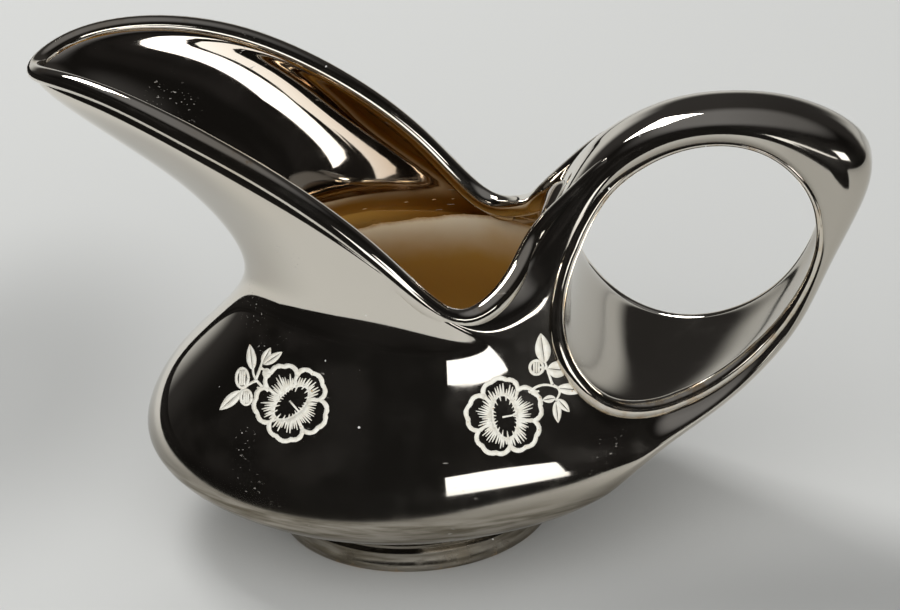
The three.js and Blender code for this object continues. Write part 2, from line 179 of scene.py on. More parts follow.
def view_axes():
    """Right, up and back of the leaning camera."""
    azimuth, roll = radians(VIEW_AZIMUTH, VIEW_ROLL)
    back = heading(VIEW_AZIMUTH, VIEW_ELEVATION)
    level = Vector((math.cos(azimuth), math.sin(azimuth), 0))
    upright = back.cross(level)
    right = level * math.cos(roll) - upright * math.sin(roll)
    return right, back.cross(right), back


# Guide curves of the pot


def hole_point(angle, half_width):
    """A point on the hole's edge, at an angle in degrees round its middle."""
    turn, angle = radians(angle - HOLE_TILT, angle)
    reach = 1 / math.hypot(math.cos(turn) / HOLE_LONG, math.sin(turn) / HOLE_SHORT)
    reach -= HOLE_FILL * max(0, math.cos(angle - math.radians(HOLE_FILL_AT))) ** 2
    return Vector((HOLE_X + reach * math.cos(angle), -half_width, HOLE_Z + reach * math.sin(angle)))


def hole_normal(angle):
    """The way out from the hole's edge, at an angle in degrees round its middle."""
    turn, tilt = radians(angle - HOLE_TILT, HOLE_TILT)
    normal = math.atan2(math.sin(turn) / HOLE_SHORT ** 2, math.cos(turn) / HOLE_LONG ** 2) + tilt
    return Vector((math.cos(normal), 0, math.sin(normal)))


def ring_point(column, radius, z):
    """A point of the near half circle round the foot's axis, from the lip to the back."""
    angle = math.pi * column / BACK_COLUMN
    return Vector((-radius * math.cos(angle), -radius * math.sin(angle), z))


def foot_point(column):
    return ring_point(column, FOOT_RADIUS - FOOT_STEP, BOTTOM_Z)


def belly_point(column):
    angle, = radians(SIDE_STEP * column)
    lift = BELLY_LIFT * math.cos(angle) ** 2
    return Vector((-BELLY_REACH * math.cos(angle), -BELLY_HALF_WIDTH * math.sin(angle), BELLY_Z + lift))


def neck_point(column):
    angle, = radians(SIDE_STEP * column)
    half_width = NECK_HALF_WIDTH * math.sin(angle) * (1 - NECK_EGG * math.cos(angle))
    rise = NECK_TILT * math.cos(angle)
    return Vector((NECK_CENTRE - NECK_REACH * math.cos(angle), -half_width, NECK_Z + rise))


def rim_point(column):
    x, half_width, rise = RIM_GUIDE[column]
    return Vector((x, -half_width, NECK_Z + rise))


def bezier(a, b, c, d, t):
    s = 1 - t
    return a * s ** 3 + b * (3 * t * s ** 2) + c * (3 * t ** 2 * s) + d * t ** 3


def side_column(foot, belly, neck, rim):
    """Rows from the foot up: tucked underside, belly, shoulder, neck and flare to the rim."""
    low = blend(neck, rim, *FLARE_FROM_NECK)
    high = blend(rim, neck, *FLARE_FROM_RIM)
    under = [blend(foot, belly, *shares) for shares in UNDER_SHARES]
    shoulder = [blend(belly, neck, *shares) for shares in SHOULDER_SHARES]
    flare = [bezier(neck, low, high, rim, step) for step in FLARE_STEPS]
    return [foot, *under, *shoulder, neck, *flare, rim]


def edge_column():
    """Rows along the hole's rolled edge, from the foot past the tail's outer edge up to the rim."""
    tail = Vector((TAIL_REACH, -TAIL_HALF_WIDTH, BELLY_Z + TAIL_RISE))
    saddle, neck, root = [hole_point(*edge) for edge in BOWL_EDGE]
    rim = rim_point(EDGE_COLUMN)
    rows = side_column(foot_point(EDGE_COLUMN), tail, neck, rim)
    rows[SADDLE_ROW] = saddle
    rows[ROOT_ROW] = root
    for row in range(ROOT_ROW + 1, RIM_ROW):
        rows[row] = blend(root, rim, (row - ROOT_ROW) / (RIM_ROW - ROOT_ROW))
    return rows


def bowl_columns(swell):
    """The near half of the bowl's cage. The tail's swell is on the outside alone."""
    columns = [
        side_column(foot_point(c), belly_point(c), neck_point(c), rim_point(c))
        for c in range(SIDE_COLUMNS)
    ]
    edge = edge_column()
    roll = [blend(last, point, ROLL_SHARE) for last, point in zip(columns[-1], edge)]
    roll[FOOT_ROW], roll[RIM_ROW] = foot_point(ROLL_COLUMN), rim_point(ROLL_COLUMN)
    columns += [roll, edge]
    for column, share in enumerate(BACK_SHARES, EDGE_COLUMN + 1):
        rows = [Vector((p.x + SCOOP, p.y * share, p.z)) for p in edge]
        for row, out, sag in BACK_SWELL:
            rows[row] += Vector((out, 0, -sag)) * swell * (1 - share)
        rows[FOOT_ROW], rows[RIM_ROW] = foot_point(column), rim_point(column)
        columns.append(rows)
    return columns


def at_row(columns, row):
    return [rows[row] for rows in columns]


def inset_columns(columns, inset, wall):
    """The bowl's columns moved inward from the outer surface, with a flat floor inside.

    Above the neck the inside is fuller, so the wall thins there and thickens again to the rim.
    """
    moved = []
    for c, rows in enumerate(columns):
        before = columns[c - 1] if c else [mirrored(p) for p in columns[1]]
        after = columns[c + 1] if c < BACK_COLUMN else [mirrored(p) for p in columns[c - 1]]
        new = []
        for r, point in enumerate(rows):
            rise = rows[min(r + 1, RIM_ROW)] - rows[max(r - 1, 0)]
            depth = inset + THROAT_FULLNESS.get(r, 0) * THROAT_COLUMNS.get(c, 0)
            new.append(point + rise.cross(after[r] - before[r]).normalized() * depth)
        moved.append(new)
    eased = []
    for c, rows in enumerate(moved):
        middle = c in (0, BACK_COLUMN)
        if SIDE_COLUMNS <= c < BACK_COLUMN:
            rows = [(p * 2 + a + b) / 4 for p, a, b in zip(rows, moved[c - 1], moved[c + 1])]
        rows = [Vector((p.x, 0 if middle else p.y, p.z)) for p in rows]
        rows[FOOT_ROW] = ring_point(c, FLOOR_RADIUS, BOTTOM_Z + FLOOR + inset - wall)
        eased.append(rows)
    return eased


def strap_section(angle, thickness, inside, outside):
    """One half section of the strap: hollow inner face, rolled edge, side and rounded outer face."""
    normal = hole_normal(angle)

    def at(depth, half_width):
        return hole_point(angle, half_width) + normal * depth

    return [
        *[at(SCOOP * deep, inside * wide + EDGE_ROLL * rolls) for deep, wide, rolls in HOLLOW_FACE],
        *[
            at(thickness * deep, inside + (outside - inside) * wide + EDGE_ROLL * rolls)
            for deep, wide, rolls in SIDE_FACE
        ],
        *[at(thickness * deep, outside * wide) for deep, wide in OUTER_FACE],
    ]


def smooth_line(points, steps, closed=False):
    """Finer points along a line, as its corners are rounded."""
    for _ in range(steps):
        finer = []
        for i, point in enumerate(points):
            after = points[(i + 1) % len(points)]
            end = not closed and i in (0, len(points) - 1)
            finer += [point if end else (point * 6 + points[i - 1] + after) / 8, (point + after) / 2]
        points = finer if closed else finer[:-1]
    return points


# Blender helpers

# Points closer than this are one point, in metres
WELD = 0.002 * MM
MIRROR_WELD = 0.01 * MM
TUBE_RESOLUTION = 6


def only(obj):
    """Makes obj the one selected and active object."""
    bpy.ops.object.select_all(action="DESELECT")
    obj.select_set(True)
    bpy.context.view_layer.objects.active = obj
    return obj


def add_object(name, data):
    obj = bpy.data.objects.new(name, data)
    bpy.context.scene.collection.objects.link(obj)
    return obj


def new_object(name, points, faces=(), edges=()):
    mesh = bpy.data.meshes.new(name)
    mesh.from_pydata([tuple(p) for p in points], list(edges), list(faces))
    return only(add_object(name, mesh))


def apply_modifier(obj, name, kind, **settings):
    only(obj)
    modifier = obj.modifiers.new(name, kind)
    for key, value in settings.items():
        setattr(modifier, key, value)
    bpy.ops.object.modifier_apply(modifier=modifier.name)


def edit_all(obj, *steps):
    """Runs mesh operators on all of obj in edit mode. Each step is the operator and its settings."""
    only(obj)
    bpy.ops.object.mode_set(mode="EDIT")
    bpy.ops.mesh.select_all(action="SELECT")
    for operator, settings in steps:
        operator(**settings)
    bpy.ops.object.mode_set(mode="OBJECT")


def close_and_face_out(obj):
    edit_all(
        obj,
        (bpy.ops.mesh.remove_doubles, {"threshold": WELD}),
        (bpy.ops.mesh.normals_make_consistent, {"inside": False}),
    )


def finish_piece(obj, material, slot, *nodes):
    """Smooth shading, material, body and the CAD nodes that the piece stands for. The slot is not used.
    """
    only(obj)
    bpy.ops.object.shade_smooth()
    obj.data.materials.clear()
    obj.data.materials.append(material)
    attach(obj, "root")
    if nodes:
        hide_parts(*nodes)


def skin_tree(context):
    """The finished skin, for rays and nearest points."""
    return BVHTree.FromObject(bpy.data.objects["cast_skin"], context.evaluated_depsgraph_get())


def mark(obj, name, value):
    """A point attribute for the shaders. The function gives each vertex its value."""
    layer = obj.data.attributes.new(name, "FLOAT", "POINT")
    for vertex in obj.data.vertices:
        layer.data[vertex.index].value = value(vertex)


def swept_tube(name, centres, radii, closed):
    """A round tube along a line of points in millimetres, with a radius in metres at each."""
    data = bpy.data.curves.new(name, "CURVE")
    data.dimensions = "3D"
    data.bevel_depth = 1
    data.bevel_resolution = TUBE_RESOLUTION
    data.use_fill_caps = True
    spline = data.splines.new("POLY")
    spline.points.add(len(centres) - 1)
    spline.use_cyclic_u = closed
    for point, centre, radius in zip(spline.points, centres, radii):
        point.co = (*place(centre), 1)
        point.radius = radius
    only(add_object(name, data))
    bpy.ops.object.convert(target="MESH")
    obj = bpy.context.view_layer.objects.active
    close_and_face_out(obj)
    return obj


class HalfCage:
    """Points and faces of the near half, in millimetres, made whole by mirroring."""

    def __init__(self):
        self.points = []
        self.faces = []
        self.creases = []
        self.inside = {}

    def add(self, point):
        self.points.append(point)
        return len(self.points) - 1

    def row(self, points):
        return [self.add(point) for point in points]

    def strip(self, low, high):
        for i in range(len(low) - 1):
            self.faces.append((low[i], low[i + 1], high[i + 1], high[i]))

    def sheet(self, rows):
        for low, high in zip(rows, rows[1:]):
            self.strip(low, high)

    def fan(self, ring, centre):
        hub = self.add(centre)
        self.faces += [(ring[i + 1], ring[i], hub) for i in range(len(ring) - 1)]

    def crease(self, ring):
        self.creases += [tuple(sorted(pair)) for pair in zip(ring, ring[1:])]

    def build(self, name, level):
        obj = new_object(name, [place(p) for p in self.points], self.faces)
        if self.creases:
            sharp = set(self.creases)
            layer = obj.data.attributes.new("crease_edge", "FLOAT", "EDGE")
            for edge in obj.data.edges:
                layer.data[edge.index].value = float(tuple(sorted(edge.vertices)) in sharp)
        if self.inside:
            layer = obj.data.attributes.new("inside", "FLOAT", "POINT")
            for i, share in self.inside.items():
                layer.data[i].value = share
        apply_modifier(
            obj, "Far half", "MIRROR",
            use_axis=(False, True, False), use_mirror_merge=True, merge_threshold=MIRROR_WELD,
        )
        apply_modifier(obj, "Throwing", "SUBSURF", levels=level, render_levels=level)
        return obj


# Shader helpers


def feed(tree, node, values):
    """Links or sets a node's inputs, by name or by number."""
    for key, value in values.items():
        if isinstance(value, bpy.types.NodeSocket):
            tree.links.new(value, node.inputs[key])
        else:
            node.inputs[key].default_value = value


def add(tree, kind, values=None, **settings):
    node = tree.nodes.new(kind)
    for key, value in settings.items():
        setattr(node, key, value)
    feed(tree, node, values or {})
    return node


def attribute(tree, name):
    return add(tree, "ShaderNodeAttribute", attribute_name=name).outputs["Fac"]


def maths(tree, operation, a, b=0.0, c=0.0, clamp=False):
    values = {0: a, 1: b, 2: c}
    return add(tree, "ShaderNodeMath", values, operation=operation, use_clamp=clamp).outputs[0]


def ramp(tree, value, low, high, to_low=0.0, to_high=1.0):
    node = add(tree, "ShaderNodeMapRange", {
        "Value": value, "From Min": low, "From Max": high, "To Min": to_low, "To Max": to_high,
    }, interpolation_type="SMOOTHSTEP")
    return node.outputs["Result"]


def mix_colour(tree, share, a, b):
    return add(tree, "ShaderNodeMix", {0: share, 6: a, 7: b}, data_type="RGBA").outputs[2]


def noise(tree, vector, scale, detail=2.0, rough=0.5):
    node = add(tree, "ShaderNodeTexNoise", {
        "Vector": vector, "Scale": scale, "Detail": detail, "Roughness": rough,
    })
    return node.outputs[0]


def new_group(name, inputs, outputs):
    """A shader group, its input node and its output node."""
    tree = bpy.data.node_groups.new(name, "ShaderNodeTree")
    kinds = {"v": "NodeSocketVector", "f": "NodeSocketFloat", "c": "NodeSocketColor"}
    for direction, sockets in (("INPUT", inputs), ("OUTPUT", outputs)):
        for label, kind in sockets.items():
            tree.interface.new_socket(name=label, in_out=direction, socket_type=kinds[kind])
    return tree, tree.nodes.new("NodeGroupInput"), tree.nodes.new("NodeGroupOutput")


def use_group(tree, name, **values):
    """A shared effect in a material. Each value goes to the input of its name."""
    group = bpy.data.node_groups.get(name) or GROUP_MAKERS[name]()
    inputs = {key.capitalize(): value for key, value in values.items()}
    return add(tree, "ShaderNodeGroup", inputs, node_tree=group)


def specks_group():
    """Scattered dots: pinholes in the lustre, dust, and iron spots in the glaze."""
    tree, inside, outside = new_group(
        "Specks", {"Vector": "v", "Scale": "f", "Size": "f", "Share": "f"}, {"Mask": "f"})
    drift = add(tree, "ShaderNodeTexNoise", {"Vector": inside.outputs["Vector"], "Scale": 900.0})
    shaken = add(tree, "ShaderNodeVectorMath", {
        0: drift.outputs["Color"], 1: (0.0006, 0.0006, 0.0006)}, operation="MULTIPLY")
    moved = add(tree, "ShaderNodeVectorMath", {
        0: inside.outputs["Vector"], 1: shaken.outputs[0]}, operation="ADD")
    cells = add(tree, "ShaderNodeTexVoronoi", {
        "Vector": moved.outputs[0], "Scale": inside.outputs["Scale"]})
    draw = add(tree, "ShaderNodeSeparateColor", {"Color": cells.outputs["Color"]})
    kept = maths(tree, "LESS_THAN", draw.outputs[0], inside.outputs["Share"])
    size = maths(tree, "MULTIPLY", inside.outputs["Size"], draw.outputs[1])
    near = maths(tree, "LESS_THAN", cells.outputs["Distance"], size)
    feed(tree, outside, {"Mask": maths(tree, "MULTIPLY", kept, near)})
    return tree


def rubs_group():
    """Short fine scratches that lie in patches, from years of wiping and stacking."""
    tree, inside, outside = new_group(
        "Rub marks", {"Vector": "v", "Fineness": "f", "Share": "f"}, {"Mask": "f"})
    lines = []
    for turn, stretch in (((0.3, 0.2, 0.9), (0.05, 1, 1)), ((0.1, 1.1, 2.2), (0.07, 1, 1))):
        turned = add(tree, "ShaderNodeMapping", {
            "Vector": inside.outputs["Vector"], "Rotation": turn, "Scale": stretch})
        grain = noise(tree, turned.outputs[0], inside.outputs["Fineness"], 0.0)
        lines.append(ramp(tree, grain, 0.78, 0.81))
    patch = noise(tree, inside.outputs["Vector"], 55.0, 2.0)
    where = ramp(tree, patch, 0.6, 0.72)
    both = maths(tree, "MAXIMUM", *lines)
    shown = maths(tree, "MULTIPLY", both, where)
    feed(tree, outside, {"Mask": maths(tree, "MULTIPLY", shown, inside.outputs["Share"])})
    return tree


def cloud_group():
    """Slow change between the full and the thin coat, with the haze that goes with it."""
    tree, inside, outside = new_group(
        "Lustre cloud", {"Vector": "v", "Full": "c", "Thin": "c", "Scale": "f", "Share": "f"},
        {"Colour": "c", "Haze": "f"})
    broad = noise(tree, inside.outputs["Vector"], inside.outputs["Scale"], 3.0, 0.6)
    share = maths(tree, "MULTIPLY", ramp(tree, broad, 0.4, 0.75), inside.outputs["Share"])
    smear = noise(tree, inside.outputs["Vector"], 140.0, 4.0, 0.65)
    feed(tree, outside, {
        "Colour": mix_colour(tree, share, inside.outputs["Full"], inside.outputs["Thin"]),
        "Haze": ramp(tree, smear, 0.45, 0.8),
    })
    return tree


def ripple_group():
    """The slow waver of a poured and fired glaze, and its finer orange peel."""
    tree, inside, outside = new_group(
        "Glaze ripple", {"Vector": "v", "Peel": "f"}, {"Height": "f"})
    slow = noise(tree, inside.outputs["Vector"], 70.0, 1.0)
    fine = noise(tree, inside.outputs["Vector"], 420.0, 1.0)
    peel = maths(tree, "MULTIPLY", fine, inside.outputs["Peel"])
    feed(tree, outside, {"Height": maths(tree, "ADD", slow, peel)})
    return tree


GROUP_MAKERS = {
    "Specks": specks_group, "Rub marks": rubs_group, "Lustre cloud": cloud_group,
    "Glaze ripple": ripple_group,
}


def new_material(name):
    """An empty node material, its tree, its shader and its object coordinates."""
    material = bpy.data.materials.new(name)
    material.use_nodes = True
    tree = material.node_tree
    tree.nodes.clear()
    shader = add(tree, "ShaderNodeBsdfPrincipled")
    add(tree, "ShaderNodeOutputMaterial", {"Surface": shader.outputs[0]})
    vector = add(tree, "ShaderNodeTexCoord").outputs["Object"]
    return material, tree, shader, vector


def worn_mask(tree, vector, strength):
    """Wear along the edges that hands and shelves touch, and on the lower belly partly painted shade,
    broken up by noise.
    """
    broken = noise(tree, vector, 260.0, 5.0, 0.7)
    ragged = ramp(tree, maths(tree, "ADD", attribute(tree, "wear"), broken), 0.95, 1.25)
    return maths(tree, "MULTIPLY", ragged, strength, clamp=True)


def dull_mask(tree, vector):
    """Darker, rougher lustre of the underside, the foot, the hole's scoop and the grip, streaked round
    the pot where it is thinnest. On the underside, foot and scoop the darkening is partly thin lustre
    and partly painted shade.
    """
    dull = attribute(tree, "dull")
    flat = add(tree, "ShaderNodeMapping", {"Vector": vector, "Scale": (0.08, 0.08, 1)})
    streaks = ramp(tree, noise(tree, flat.outputs[0], 900.0, 3.0, 0.6), 0.3, 0.7, 0.4, 0.0)
    deep = maths(tree, "POWER", dull, 4.0)
    kept = maths(tree, "SUBTRACT", 1.0, maths(tree, "MULTIPLY", streaks, deep))
    return maths(tree, "MULTIPLY", dull, kept)


# Marks in the lustre: the specks' cells and size, the scratches' fineness, and how a mark stands out
SPECK_CELLS, SPECK_SIZE, RUB_FINENESS = 700.0, 0.2, 2600.0
MARK_ROUGHNESS, MARK_HEIGHT = 0.4, 0.12
RUBBED_ROUGHNESS = 0.12
# Relief of each coat in metres
LUSTRE_RELIEF, LINING_RELIEF, RESIST_RELIEF = 9e-6, 1.2e-5, 1e-5


def relief(tree, shader, height, distance):
    bump = add(tree, "ShaderNodeBump", {"Height": height, "Strength": 1.0, "Distance": distance})
    feed(tree, shader, {"Normal": bump.outputs[0]})


def lustre_material(name, finish, cloud_scale, thin_share, wear, scratches, speck_share, haze):
    """Mirror metal lustre over glaze: clouded coat, worn edges, specks, scratches and ripple, with a
    painted reflection and shade inside the mouth and painted shade on the underside.
    """
    material, tree, shader, vector = new_material(name)
    cloud = use_group(
        tree, "Lustre cloud", vector=vector, full=finish.lustre, thin=finish.thin_lustre,
        scale=cloud_scale, share=thin_share)
    specks = use_group(
        tree, "Specks", vector=vector, scale=SPECK_CELLS, size=SPECK_SIZE, share=speck_share)
    rubs = use_group(tree, "Rub marks", vector=vector, fineness=RUB_FINENESS, share=scratches)
    ripple = use_group(tree, "Glaze ripple", vector=vector, peel=0.05)
    worn, dull = worn_mask(tree, vector, wear), dull_mask(tree, vector)
    # Inside the mouth the colour holds a painted reflection of the cream glaze and painted shade
    toned = mix_colour(tree, attribute(tree, "inside"), cloud.outputs["Colour"], finish.inner_lustre)
    # Dull parts darken here: partly thin lustre, partly painted shade
    bright = mix_colour(tree, dull, toned, finish.dull_lustre)
    coat = mix_colour(tree, worn, bright, finish.worn_lustre)
    marks = maths(tree, "MAXIMUM", specks.outputs[0], rubs.outputs[0])
    soft = maths(tree, "MULTIPLY_ADD", cloud.outputs["Haze"], haze, finish.gloss)
    rubbed = maths(tree, "MULTIPLY_ADD", maths(tree, "ADD", worn, dull), RUBBED_ROUGHNESS, soft)
    feed(tree, shader, {
        "Base Color": mix_colour(tree, marks, coat, finish.dust),
        "Metallic": maths(tree, "SUBTRACT", 1.0, marks, clamp=True),
        "Roughness": maths(tree, "MULTIPLY_ADD", marks, MARK_ROUGHNESS, rubbed),
    })
    height = maths(tree, "MULTIPLY_ADD", marks, MARK_HEIGHT, ripple.outputs[0])
    relief(tree, shader, height, LUSTRE_RELIEF)
    return material


def lining_material(name, finish):
    """Cream glaze with a painted sheen, paler near the lustre's line and deeper amber lower down in
    patches, with iron spots, browned along the lustre's brushed edge.
    """
    material, tree, shader, vector = new_material(name)
    above = attribute(tree, "brushed")
    ragged = maths(tree, "ADD", above, noise(tree, vector, 500.0, 3.0, 0.7))
    edge = ramp(tree, ragged, -0.6, 0.6)
    # Painted sheen: paler cream near the lustre's line, fading to deeper amber lower down
    patchy = ramp(tree, noise(tree, vector, 60.0, 3.0), 0.3, 0.75, -2.0, 2.0)
    pool = ramp(tree, maths(tree, "ADD", above, patchy), -13.0, 1.0, 1.0, 0.0)
    glaze = mix_colour(tree, pool, finish.cream, finish.deep_cream)
    spots = use_group(tree, "Specks", vector=vector, scale=260.0, size=0.22, share=0.16).outputs[0]
    spotted = mix_colour(tree, maths(tree, "MULTIPLY", spots, 0.6), glaze, finish.iron_spot)
    feed(tree, shader, {
        "Base Color": mix_colour(tree, edge, spotted, finish.worn_lustre),
        "Roughness": ramp(tree, pool, 0.0, 1.0, 0.13, 0.2),
        "Coat Weight": 0.35,
        "Coat Roughness": 0.06,
    })
    ripple = use_group(tree, "Glaze ripple", vector=vector, peel=0.1)
    relief(tree, shader, ripple.outputs[0], LINING_RELIEF)
    return material


def resist_material(name, finish):
    """The bare cream glaze that shows where the resist kept the lustre off."""
    material, tree, shader, vector = new_material(name)
    tone = ramp(tree, noise(tree, vector, 700.0, 3.0, 0.6), 0.35, 0.7)
    film = mix_colour(tree, tone, finish.resist, finish.resist_shade)
    flecks = use_group(tree, "Specks", vector=vector, scale=1500.0, size=0.3, share=0.1).outputs[0]
    feed(tree, shader, {
        "Base Color": mix_colour(tree, flecks, film, finish.worn_lustre),
        "Roughness": ramp(tree, tone, 0.0, 1.0, 0.28, 0.4),
    })
    ripple = use_group(tree, "Glaze ripple", vector=vector, peel=0.3)
    relief(tree, shader, ripple.outputs[0], RESIST_RELIEF)
    return material


# Sprigs, drawn in millimetres on the plane that faces the camera

STROKE = 0.7
HATCH = 0.3
FILM = 0.05
BLOSSOM_RADIUS = 7.5
# Each strip lies a little higher than the one before it, in turns of this many
LIFT_STEP, LIFT_TURN = 0.0006, 40
# How far off the bowl the strips are thrown from, and how far they fly, in metres
THROWN_FROM, THROW = 0.05, 0.2
FRONT_SPRIG = {
    "anchor": Vector((-18.6, -30.8, 39.9)),
    "boss_tilt": 42,
    "stems": [
        [(-4.6, 2.2), (-7.2, 4.4), (-7.8, 6.8)], [(-7.2, 4.4), (-6.5, 6.2), (-6.0, 7.8)],
        [(-6.9, 4.2), (-8.6, 3.4), (-10.4, 1.9)], [(-6.3, 6.6), (-5.4, 6.2), (-5.0, 5.7)],
        [(-5.4, 2.9), (-6.0, 2.6), (-6.9, 2.9)],
    ],
    "leaves": [
        ((-7.9, 6.2), (-8.6, 11.2), 1.0), ((-6.0, 7.5), (-4.3, 10.6), 0.8),
        ((-5.7, 7.3), (-1.9, 9.8), 0.85), ((-10.1, 2.1), (-14.5, -1.7), 1.1),
    ],
    "buds": [((-10.0, 4.6), 1.25, 1.9), ((-9.1, 0.9), 1.1, 1.45), ((-5.0, 5.6), 0.6, 0.75)],
}
BACK_SPRIG = {
    "anchor": Vector((23.2, -32.7, 38.6)),
    "boss_tilt": 100,
    "stems": [
        [(4.6, 4.6), (7.1, 6.0), (9.8, 5.6)], [(9.2, 6.1), (8.4, 8.4), (7.8, 10.4)],
        [(9.4, 5.9), (10.6, 4.8), (9.8, 3.0)], [(5.4, 5.2), (6.0, 4.8), (6.6, 4.9)],
        [(8.2, 9.2), (7.2, 9.4), (6.6, 9.4)],
    ],
    "leaves": [
        ((7.7, 10.2), (6.9, 16.0), 1.5), ((8.2, 9.2), (12.4, 8.7), 1.6),
        ((10.0, 5.4), (15.6, 4.9), 1.1), ((9.8, 3.5), (7.2, 3.1), 0.75),
        ((9.9, 2.9), (10.3, -1.3), 0.85), ((10.2, 3.3), (12.5, 0.8), 0.8),
    ],
    "buds": [((6.1, 9.4), 1.3, 1.35)],
}


def even(steps):
    """Even shares from 0 to 1, both included."""
    return [i / steps for i in range(steps + 1)]


class SprigDrawing:
    """Flat outlines of one sprig, as strips of points in pairs."""

    # Shares of the blossom's radius: a petal's valley, arch and frill, and the boss's two half axes
    VALLEY, ARCH, FRILL = 0.72, 0.24, 0.045
    BOSS_LONG, BOSS_SHORT = 0.58, 0.33
    HATCHES = 62
    # Half width of the bare vein in a leaf
    VEIN = 0.09

    def __init__(self, rng):
        self.strips = []
        self.rng = rng

    def stroke(self, line, width, taper=0.0):
        """A brushed line. Taper thins its far end."""
        strip = []
        for i, point in enumerate(line):
            a, b = line[max(i - 1, 0)], line[min(i + 1, len(line) - 1)]
            along = (b - a).normalized()
            half = width / 2 * (1 - taper * i / (len(line) - 1)) * self.rng.uniform(0.88, 1.12)
            aside = Vector((-along.y, along.x)) * half
            strip.append((point + aside, point - aside))
        self.strips.append(strip)

    def curve(self, a, b, c, width, taper=0.0, steps=12):
        a, b, c = Vector(a), Vector(b), Vector(c)
        handle = b * 2 - (a + c) / 2
        line = [a * (1 - t) ** 2 + handle * (2 * t * (1 - t)) + c * t ** 2 for t in even(steps)]
        self.stroke(line, width, taper)

    def leaf(self, base, tip, half_width, steps=14):
        """Two solid halves with the vein left bare between them."""
        base, tip = Vector(base), Vector(tip)
        along = (tip - base).normalized()
        aside = Vector((-along.y, along.x))
        for side in (-1, 1):
            strip = []
            for t in even(steps):
                swell = half_width * math.sin(math.pi * t ** 0.85) ** 0.8
                vein = self.VEIN * math.sin(math.pi * t)
                spine = base + (tip - base) * t
                strip.append((spine + aside * side * vein, spine + aside * side * max(swell, vein)))
            self.strips.append(strip if side < 0 else [(b, a) for a, b in strip])

    def bud(self, centre, wide, tall, bars=3, steps=20):
        """A round bud: an outline and a few bars inside it."""
        centre = Vector(centre)
        turns = [2 * math.pi * t for t in even(steps)]
        ring = [centre + Vector((wide * math.cos(a), tall * math.sin(a))) for a in turns]
        self.stroke(ring, STROKE * 0.75)
        for i in range(bars):
            x = wide * (0.55 * (i + 0.5) / bars * 2 - 0.55)
            self.stroke([centre + Vector((x, tall * s)) for s in (-0.75, -0.2, 0.3, 0.8)], HATCH * 1.3)

    def blossom(self, radius, boss_tilt, petals=5, steps=30):
        """An open rose: frilled petals round a long bare boss, with hatching out from its edge."""
        tilt = math.radians(boss_tilt)
        start = tilt + math.pi / petals

        def edge(angle):
            t = ((angle - start) / (2 * math.pi) * petals) % 1
            frill = self.FRILL * abs(math.sin(3 * math.pi * t))
            return radius * (self.VALLEY + self.ARCH * math.sin(math.pi * t) ** 0.5 + frill)

        def boss(angle):
            long, short = self.BOSS_LONG * radius, self.BOSS_SHORT * radius
            turn = angle - tilt
            return 1 / math.hypot(math.cos(turn) / long, math.sin(turn) / short)

        def polar(angle, reach):
            return Vector((math.cos(angle), math.sin(angle))) * reach

        turns = [2 * math.pi * t + start for t in even(petals * steps)]
        self.stroke([polar(a, edge(a)) for a in turns], STROKE * 1.25)
        self.stroke([polar(a, boss(a)) for a in turns], STROKE)
        for petal in range(petals):
            angle = start + 2 * math.pi * petal / petals
            bend = self.rng.uniform(-0.1, 0.1)
            low, high = boss(angle), edge(angle)
            fold = [polar(angle + bend * s, high + (low - high) * s) for s in (0, 0.2, 0.4, 0.6, 0.75)]
            self.stroke(fold, STROKE * 1.1, 0.4)
        for i in range(self.HATCHES):
            angle = 2 * math.pi * (i + self.rng.uniform(-0.2, 0.2)) / self.HATCHES
            low, high = boss(angle), edge(angle)
            reach = low + (high - low) * self.rng.uniform(0.4, 0.7)
            outward = [polar(angle, low + (reach - low) * s) for s in (0, 0.35, 0.7, 1)]
            self.stroke(outward, HATCH * 1.6, 0.7)
            if i % 3 == 0:
                deep = low * self.rng.uniform(0.62, 0.8)
                inward = [polar(angle, low + (deep - low) * s) for s in (0, 0.5, 1)]
                self.stroke(inward, HATCH * 1.5, 0.8)
        across = tilt + math.pi / 2
        self.stroke([polar(across, boss(across) * s) for s in (-1, -0.4, 0.2)], HATCH * 1.1)


def draw_sprig(plan, rng):
    drawing = SprigDrawing(rng)
    drawing.blossom(BLOSSOM_RADIUS, plan["boss_tilt"])
    for stem in plan["stems"]:
        drawing.curve(*stem, STROKE * 0.8, 0.35)
    for leaf in plan["leaves"]:
        drawing.leaf(*leaf)
    for bud in plan["buds"]:
        drawing.bud(*bud)
    return drawing.strips


def lay_on(tree, plan, strips):
    """The strips thrown along the line of sight on to the skin, as thin raised films."""
    right, up, back = view_axes()
    points, faces = [], []
    start = place(plan["anchor"]) + back * THROWN_FROM
    for order, strip in enumerate(strips):
        lift = (FILM + LIFT_STEP * (order % LIFT_TURN)) * MM
        ring = []
        for pair in strip:
            quad = []
            for flat in pair:
                eye = start + (right * flat.x + up * flat.y) * MM
                hit, normal, _, _ = tree.ray_cast(eye, -back, THROW)
                if hit is None:
                    raise RuntimeError("a sprig's stroke misses the bowl")
                quad += [hit + normal * lift, hit - normal * FILM * MM]
            ring.append(len(points))
            points += [quad[0], quad[2], quad[3], quad[1]]
        for a, b in zip(ring, ring[1:]):
            faces += [(a + k, a + (k + 1) % 4, b + (k + 1) % 4, b + k) for k in range(4)]
        first, last = ring[0], ring[-1]
        faces += [(first + 3, first + 2, first + 1, first), (last, last + 1, last + 2, last + 3)]
    return points, faces


# Properties


def length(name, description, default, low, high):
    """A size in millimetres, kept in metres."""
    return FloatProperty(
        name=name, description=description, default=default * MM, min=low * MM, max=high * MM,
        subtype="DISTANCE", unit="LENGTH")


def colour(name, description, *rgb):
    return FloatVectorProperty(
        name=name, description=description, default=(*rgb, 1), size=4, min=0, max=1, subtype="COLOR")


